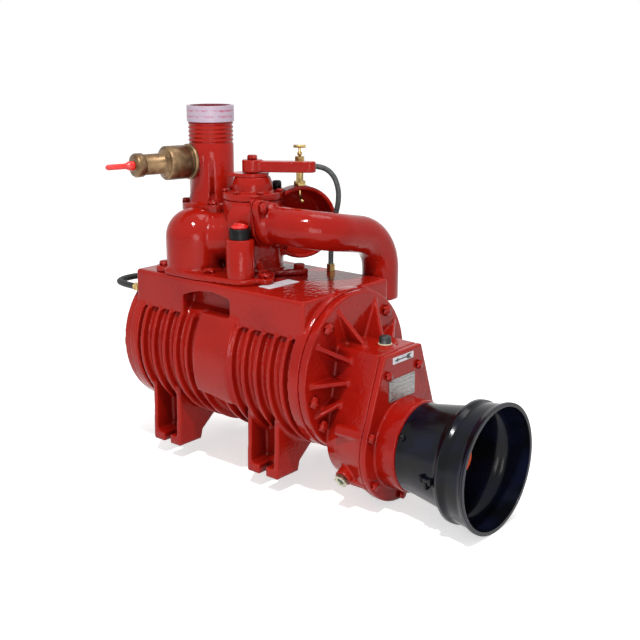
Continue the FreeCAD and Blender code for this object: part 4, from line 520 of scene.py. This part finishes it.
# Two plain stickers: a white one on the tank and one on the gear case cover, which shows only an
# arrow for the way the shaft turns. Both are thin vinyl with cut corners.
vinyl = Finish("white_vinyl", Specular_IOR_Level=0.4)
fade = vinyl.noise(90.0, 2.0)
vinyl.mottle(rgb(214, 212, 216), rgb(188, 186, 194), fade)
vinyl.set(Roughness=0.34 + fade * 0.14)
vinyl.grain(fade, 0.0002, 0.3)
print_black = Finish("sticker_black", Roughness=0.4)
print_black.set(Base_Color=print_black.blend(rgb(16, 16, 18), rgb(34, 34, 36), print_black.noise(200.0, 2.0)))


def sticker(name, outline, thickness, place, turn, finish):
    """A thin flat piece cut to an outline, laid on the face that it is stuck to."""
    shape = bmesh.new()
    face = shape.faces.new([shape.verts.new((x, y, 0.0)) for x, y in outline])
    raised = bmesh.ops.extrude_face_region(shape, geom=[face])["geom"]
    top = [part for part in raised if isinstance(part, bmesh.types.BMVert)]
    bmesh.ops.translate(shape, vec=(0.0, 0.0, thickness), verts=top)
    bmesh.ops.recalc_face_normals(shape, faces=shape.faces)
    bmesh.ops.transform(shape, matrix=Matrix.Translation(place) @ turn, verts=shape.verts)
    piece = make_piece(name, shape, finish)
    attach(piece, "pump")


def cut_corners(length, width, corner):
    """Outline of a rectangle about its middle, with its four corners cut."""
    half_l, half_w = length / 2, width / 2
    return [(-half_l + corner, -half_w), (half_l - corner, -half_w), (half_l, -half_w + corner),
            (half_l, half_w - corner), (half_l - corner, half_w), (-half_l + corner, half_w),
            (-half_l, half_w - corner), (-half_l, -half_w + corner)]


vinyl_thick = 0.0006
print_thick = 0.0003
sticker_sunk = 0.0001
print_raised = 0.0004
tank_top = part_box("valve_body")[0][2]
case_face = plate_low.x
arrow_y, arrow_z = -0.002, 0.2125
askew = Matrix.Rotation(math.radians(-3.0), 4, "Z")
upright = Matrix(((0, 0, 1, 0), (1, 0, 0, 0), (0, 1, 0, 0), (0, 0, 0, 1)))
sticker("tank_sticker", cut_corners(0.026, 0.069, 0.0015), vinyl_thick,
        (0.093, -0.0405, tank_top - sticker_sunk), askew, vinyl)
sticker("arrow_sticker", cut_corners(0.054, 0.0105, 0.0010), vinyl_thick,
        (case_face - sticker_sunk, arrow_y, arrow_z), upright, vinyl)
lower_side = [(-0.0135, -0.0031), (-0.0135, -0.0009), (0.0070, -0.0009), (0.0120, -0.0040), (0.0215, -0.0040)]
upper_side = [(x, -y) for x, y in reversed(lower_side)]
arrow = [(-0.0225, 0.0), *lower_side, (0.0155, 0.0), *upper_side]
sticker("arrow_print", arrow, print_thick, (case_face + print_raised, arrow_y, arrow_z), upright, print_black)


# The breather on top of the gear case is a black plastic cap over a pale sealing washer. Both are one
# part, so the finish changes with height.
cap_height = 0.0109
cap_blur = 0.0001
breather = Finish("breather_black")
knurl = breather.noise(400.0, 2.0)
washer_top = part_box("breather_plug")[1][2] - cap_height
height = breather.add("ShaderNodeSeparateXYZ", {}, breather.place, out="Z")
cap_black = breather.blend(rgb(8, 9, 9), rgb(26, 29, 28), knurl)
breather.mottle(rgb(198, 184, 150), cap_black, height, washer_top - cap_blur, washer_top)
breather.set(Roughness=0.4 + knurl * 0.2)
breather.grain(knurl, 0.0003, 0.5, edge=0.0006)
dress(breather, "breather_plug")


# Two oil hoses, each pushed over a fitting at both ends: a dark grey one from the tap down to the
# tank, and a black one in a flat loop at the rear, from the tank to the rear cover.
rubber_grey = rgb(46, 50, 49)
rubber_dusty = rgb(70, 76, 73)
rubber_black = rgb(13, 14, 14)
hose_rubber = Finish("hose_rubber")
dust = hose_rubber.noise(220.0, 3.0)
along = hose_rubber.add("ShaderNodeSeparateXYZ", {}, hose_rubber.place, out="X")
front_rubber = hose_rubber.blend(rubber_grey, rubber_dusty, hose_rubber.between(dust, 0.4, 0.7))
hose_rubber.mottle(rubber_black, front_rubber, along, -0.15, -0.05)
hose_rubber.set(Roughness=0.5 + dust * 0.2)
hose_rubber.grain(dust, 0.0003, 0.4)


def lay_hose(name, points, diameter):
    """A hose on one smooth curve through its route, from one fitting to the other."""
    curve = bpy.data.curves.new(name, "CURVE")
    curve.dimensions = "3D"
    spline = curve.splines.new("NURBS")
    spline.points.add(len(points) - 1)
    for point, place in zip(spline.points, points):
        point.co = (*place, 1.0)
    spline.order_u = 3
    spline.use_endpoint_u = True
    curve.resolution_u = 12
    curve.bevel_depth = diameter / 2
    curve.bevel_resolution = 6
    curve.use_fill_caps = True
    hose = bpy.data.objects.new(name + "_tube", curve)
    bpy.context.scene.collection.objects.link(hose)
    hose.data.materials.append(hose_rubber.material)
    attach(hose, "pump")
    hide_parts(name)


front_route = [(0.0548, 0.0754, 0.478), (0.0717, 0.0895, 0.478), (0.088, 0.101, 0.466), (0.099, 0.103, 0.443),
               (0.101, 0.101, 0.418), (0.096, 0.096, 0.390), (0.092, 0.092, 0.356), (0.092, 0.092, 0.314)]
rear_route = [(-0.189, -0.100, 0.267), (-0.2362, -0.100, 0.267), (-0.254, -0.0748, 0.267),
              (-0.254, -0.0392, 0.267), (-0.2362, -0.014, 0.267), (-0.203, -0.014, 0.267)]
lay_hose("oil_hose_front", front_route, diameter=0.009)
lay_hose("oil_hose_rear", rear_route, diameter=0.011)


# The pump stands on a plain floor that looks white to the camera and in reflections, and that still
# takes the pump's shadow.
floor_gap = 0.001
floor_white = Finish("floor_white", Roughness=0.9)
camera_ray = floor_white.add("ShaderNodeLightPath", {}, out="Is Camera Ray")
glossy_ray = floor_white.add("ShaderNodeLightPath", {}, out="Is Glossy Ray")
floor_white.set(Base_Color=(0.86, 0.86, 0.86, 1.0), Emission_Color=(1.0, 1.0, 1.0, 1.0))
floor_white.set(Emission_Strength=camera_ray.math("MAXIMUM", glossy_ray) * 0.55)
shape = bmesh.new()
bmesh.ops.create_grid(shape, x_segments=1, y_segments=1, size=12.0)
bmesh.ops.translate(shape, vec=(0.0, 0.0, cad_box[0][2] - floor_gap), verts=shape.verts)
floor = make_piece("floor", shape, floor_white)


# Behind it is an even sky: white to the camera, in reflections and through glass, and half as bright
# as a light on the pump.
world = bpy.data.worlds.new("studio")
bpy.context.scene.world = world
world.use_nodes = True
sky = world.node_tree
path = sky.nodes.new("ShaderNodeLightPath")


def either(first, second):
    """1 where either of two sockets of the sky is 1."""
    largest = sky.nodes.new("ShaderNodeMath")
    largest.operation = "MAXIMUM"
    sky.links.new(first, largest.inputs[0])
    sky.links.new(second, largest.inputs[1])
    return largest.outputs[0]


looks_white = either(path.outputs["Is Camera Ray"], path.outputs["Is Glossy Ray"])
looks_white = either(looks_white, path.outputs["Is Transmission Ray"])
level = sky.nodes.new("ShaderNodeMapRange")
level.inputs["To Min"].default_value = 0.5
level.inputs["To Max"].default_value = 1.0
background = sky.nodes["Background"]
background.inputs["Color"].default_value = (1.0, 1.0, 1.0, 1.0)
sky.links.new(looks_white, level.inputs["Value"])
sky.links.new(level.outputs["Result"], background.inputs["Strength"])


# Three lamps: a small key lamp high in front, which gives the enamel its sharp glints, and two wide
# soft ones that fill the shaded side and the top.
lamp_aim = Vector((0.1, 0.0, 0.22))


def lamp(name, place, size, power):
    """A square lamp that faces the pump."""
    light = bpy.data.lights.new(name, "AREA")
    light.size = size
    light.energy = power
    holder = bpy.data.objects.new(name, light)
    holder.location = place
    holder.rotation_euler = (lamp_aim - Vector(place)).to_track_quat("-Z", "Y").to_euler()
    bpy.context.scene.collection.objects.link(holder)


lamp("key_lamp", (0.85, -1.25, 2.8), size=0.10, power=66.0)
lamp("fill_lamp", (2.3, -2.1, 0.7), size=1.2, power=26.0)
lamp("top_lamp", (0.3, 0.8, 2.6), size=0.9, power=12.0)


# The camera looks down at the pump from in front of its drive end, a little to the left of the
# shaft, as a long lens does from about two metres away.
camera_place = (1.1877, -1.2566, 0.6810)
camera_azimuth = math.radians(39.7)
camera_pitch = math.radians(15.01)
camera_data = bpy.data.cameras.new("camera")
camera_data.lens = 58.8
camera_data.sensor_width = 36.0
camera = bpy.data.objects.new("camera", camera_data)
camera.location = camera_place
camera.rotation_euler = (math.pi / 2 - camera_pitch, 0.0, camera_azimuth)
bpy.context.scene.collection.objects.link(camera)
bpy.context.scene.camera = camera

bpy.context.scene.view_settings.view_transform = "Standard"
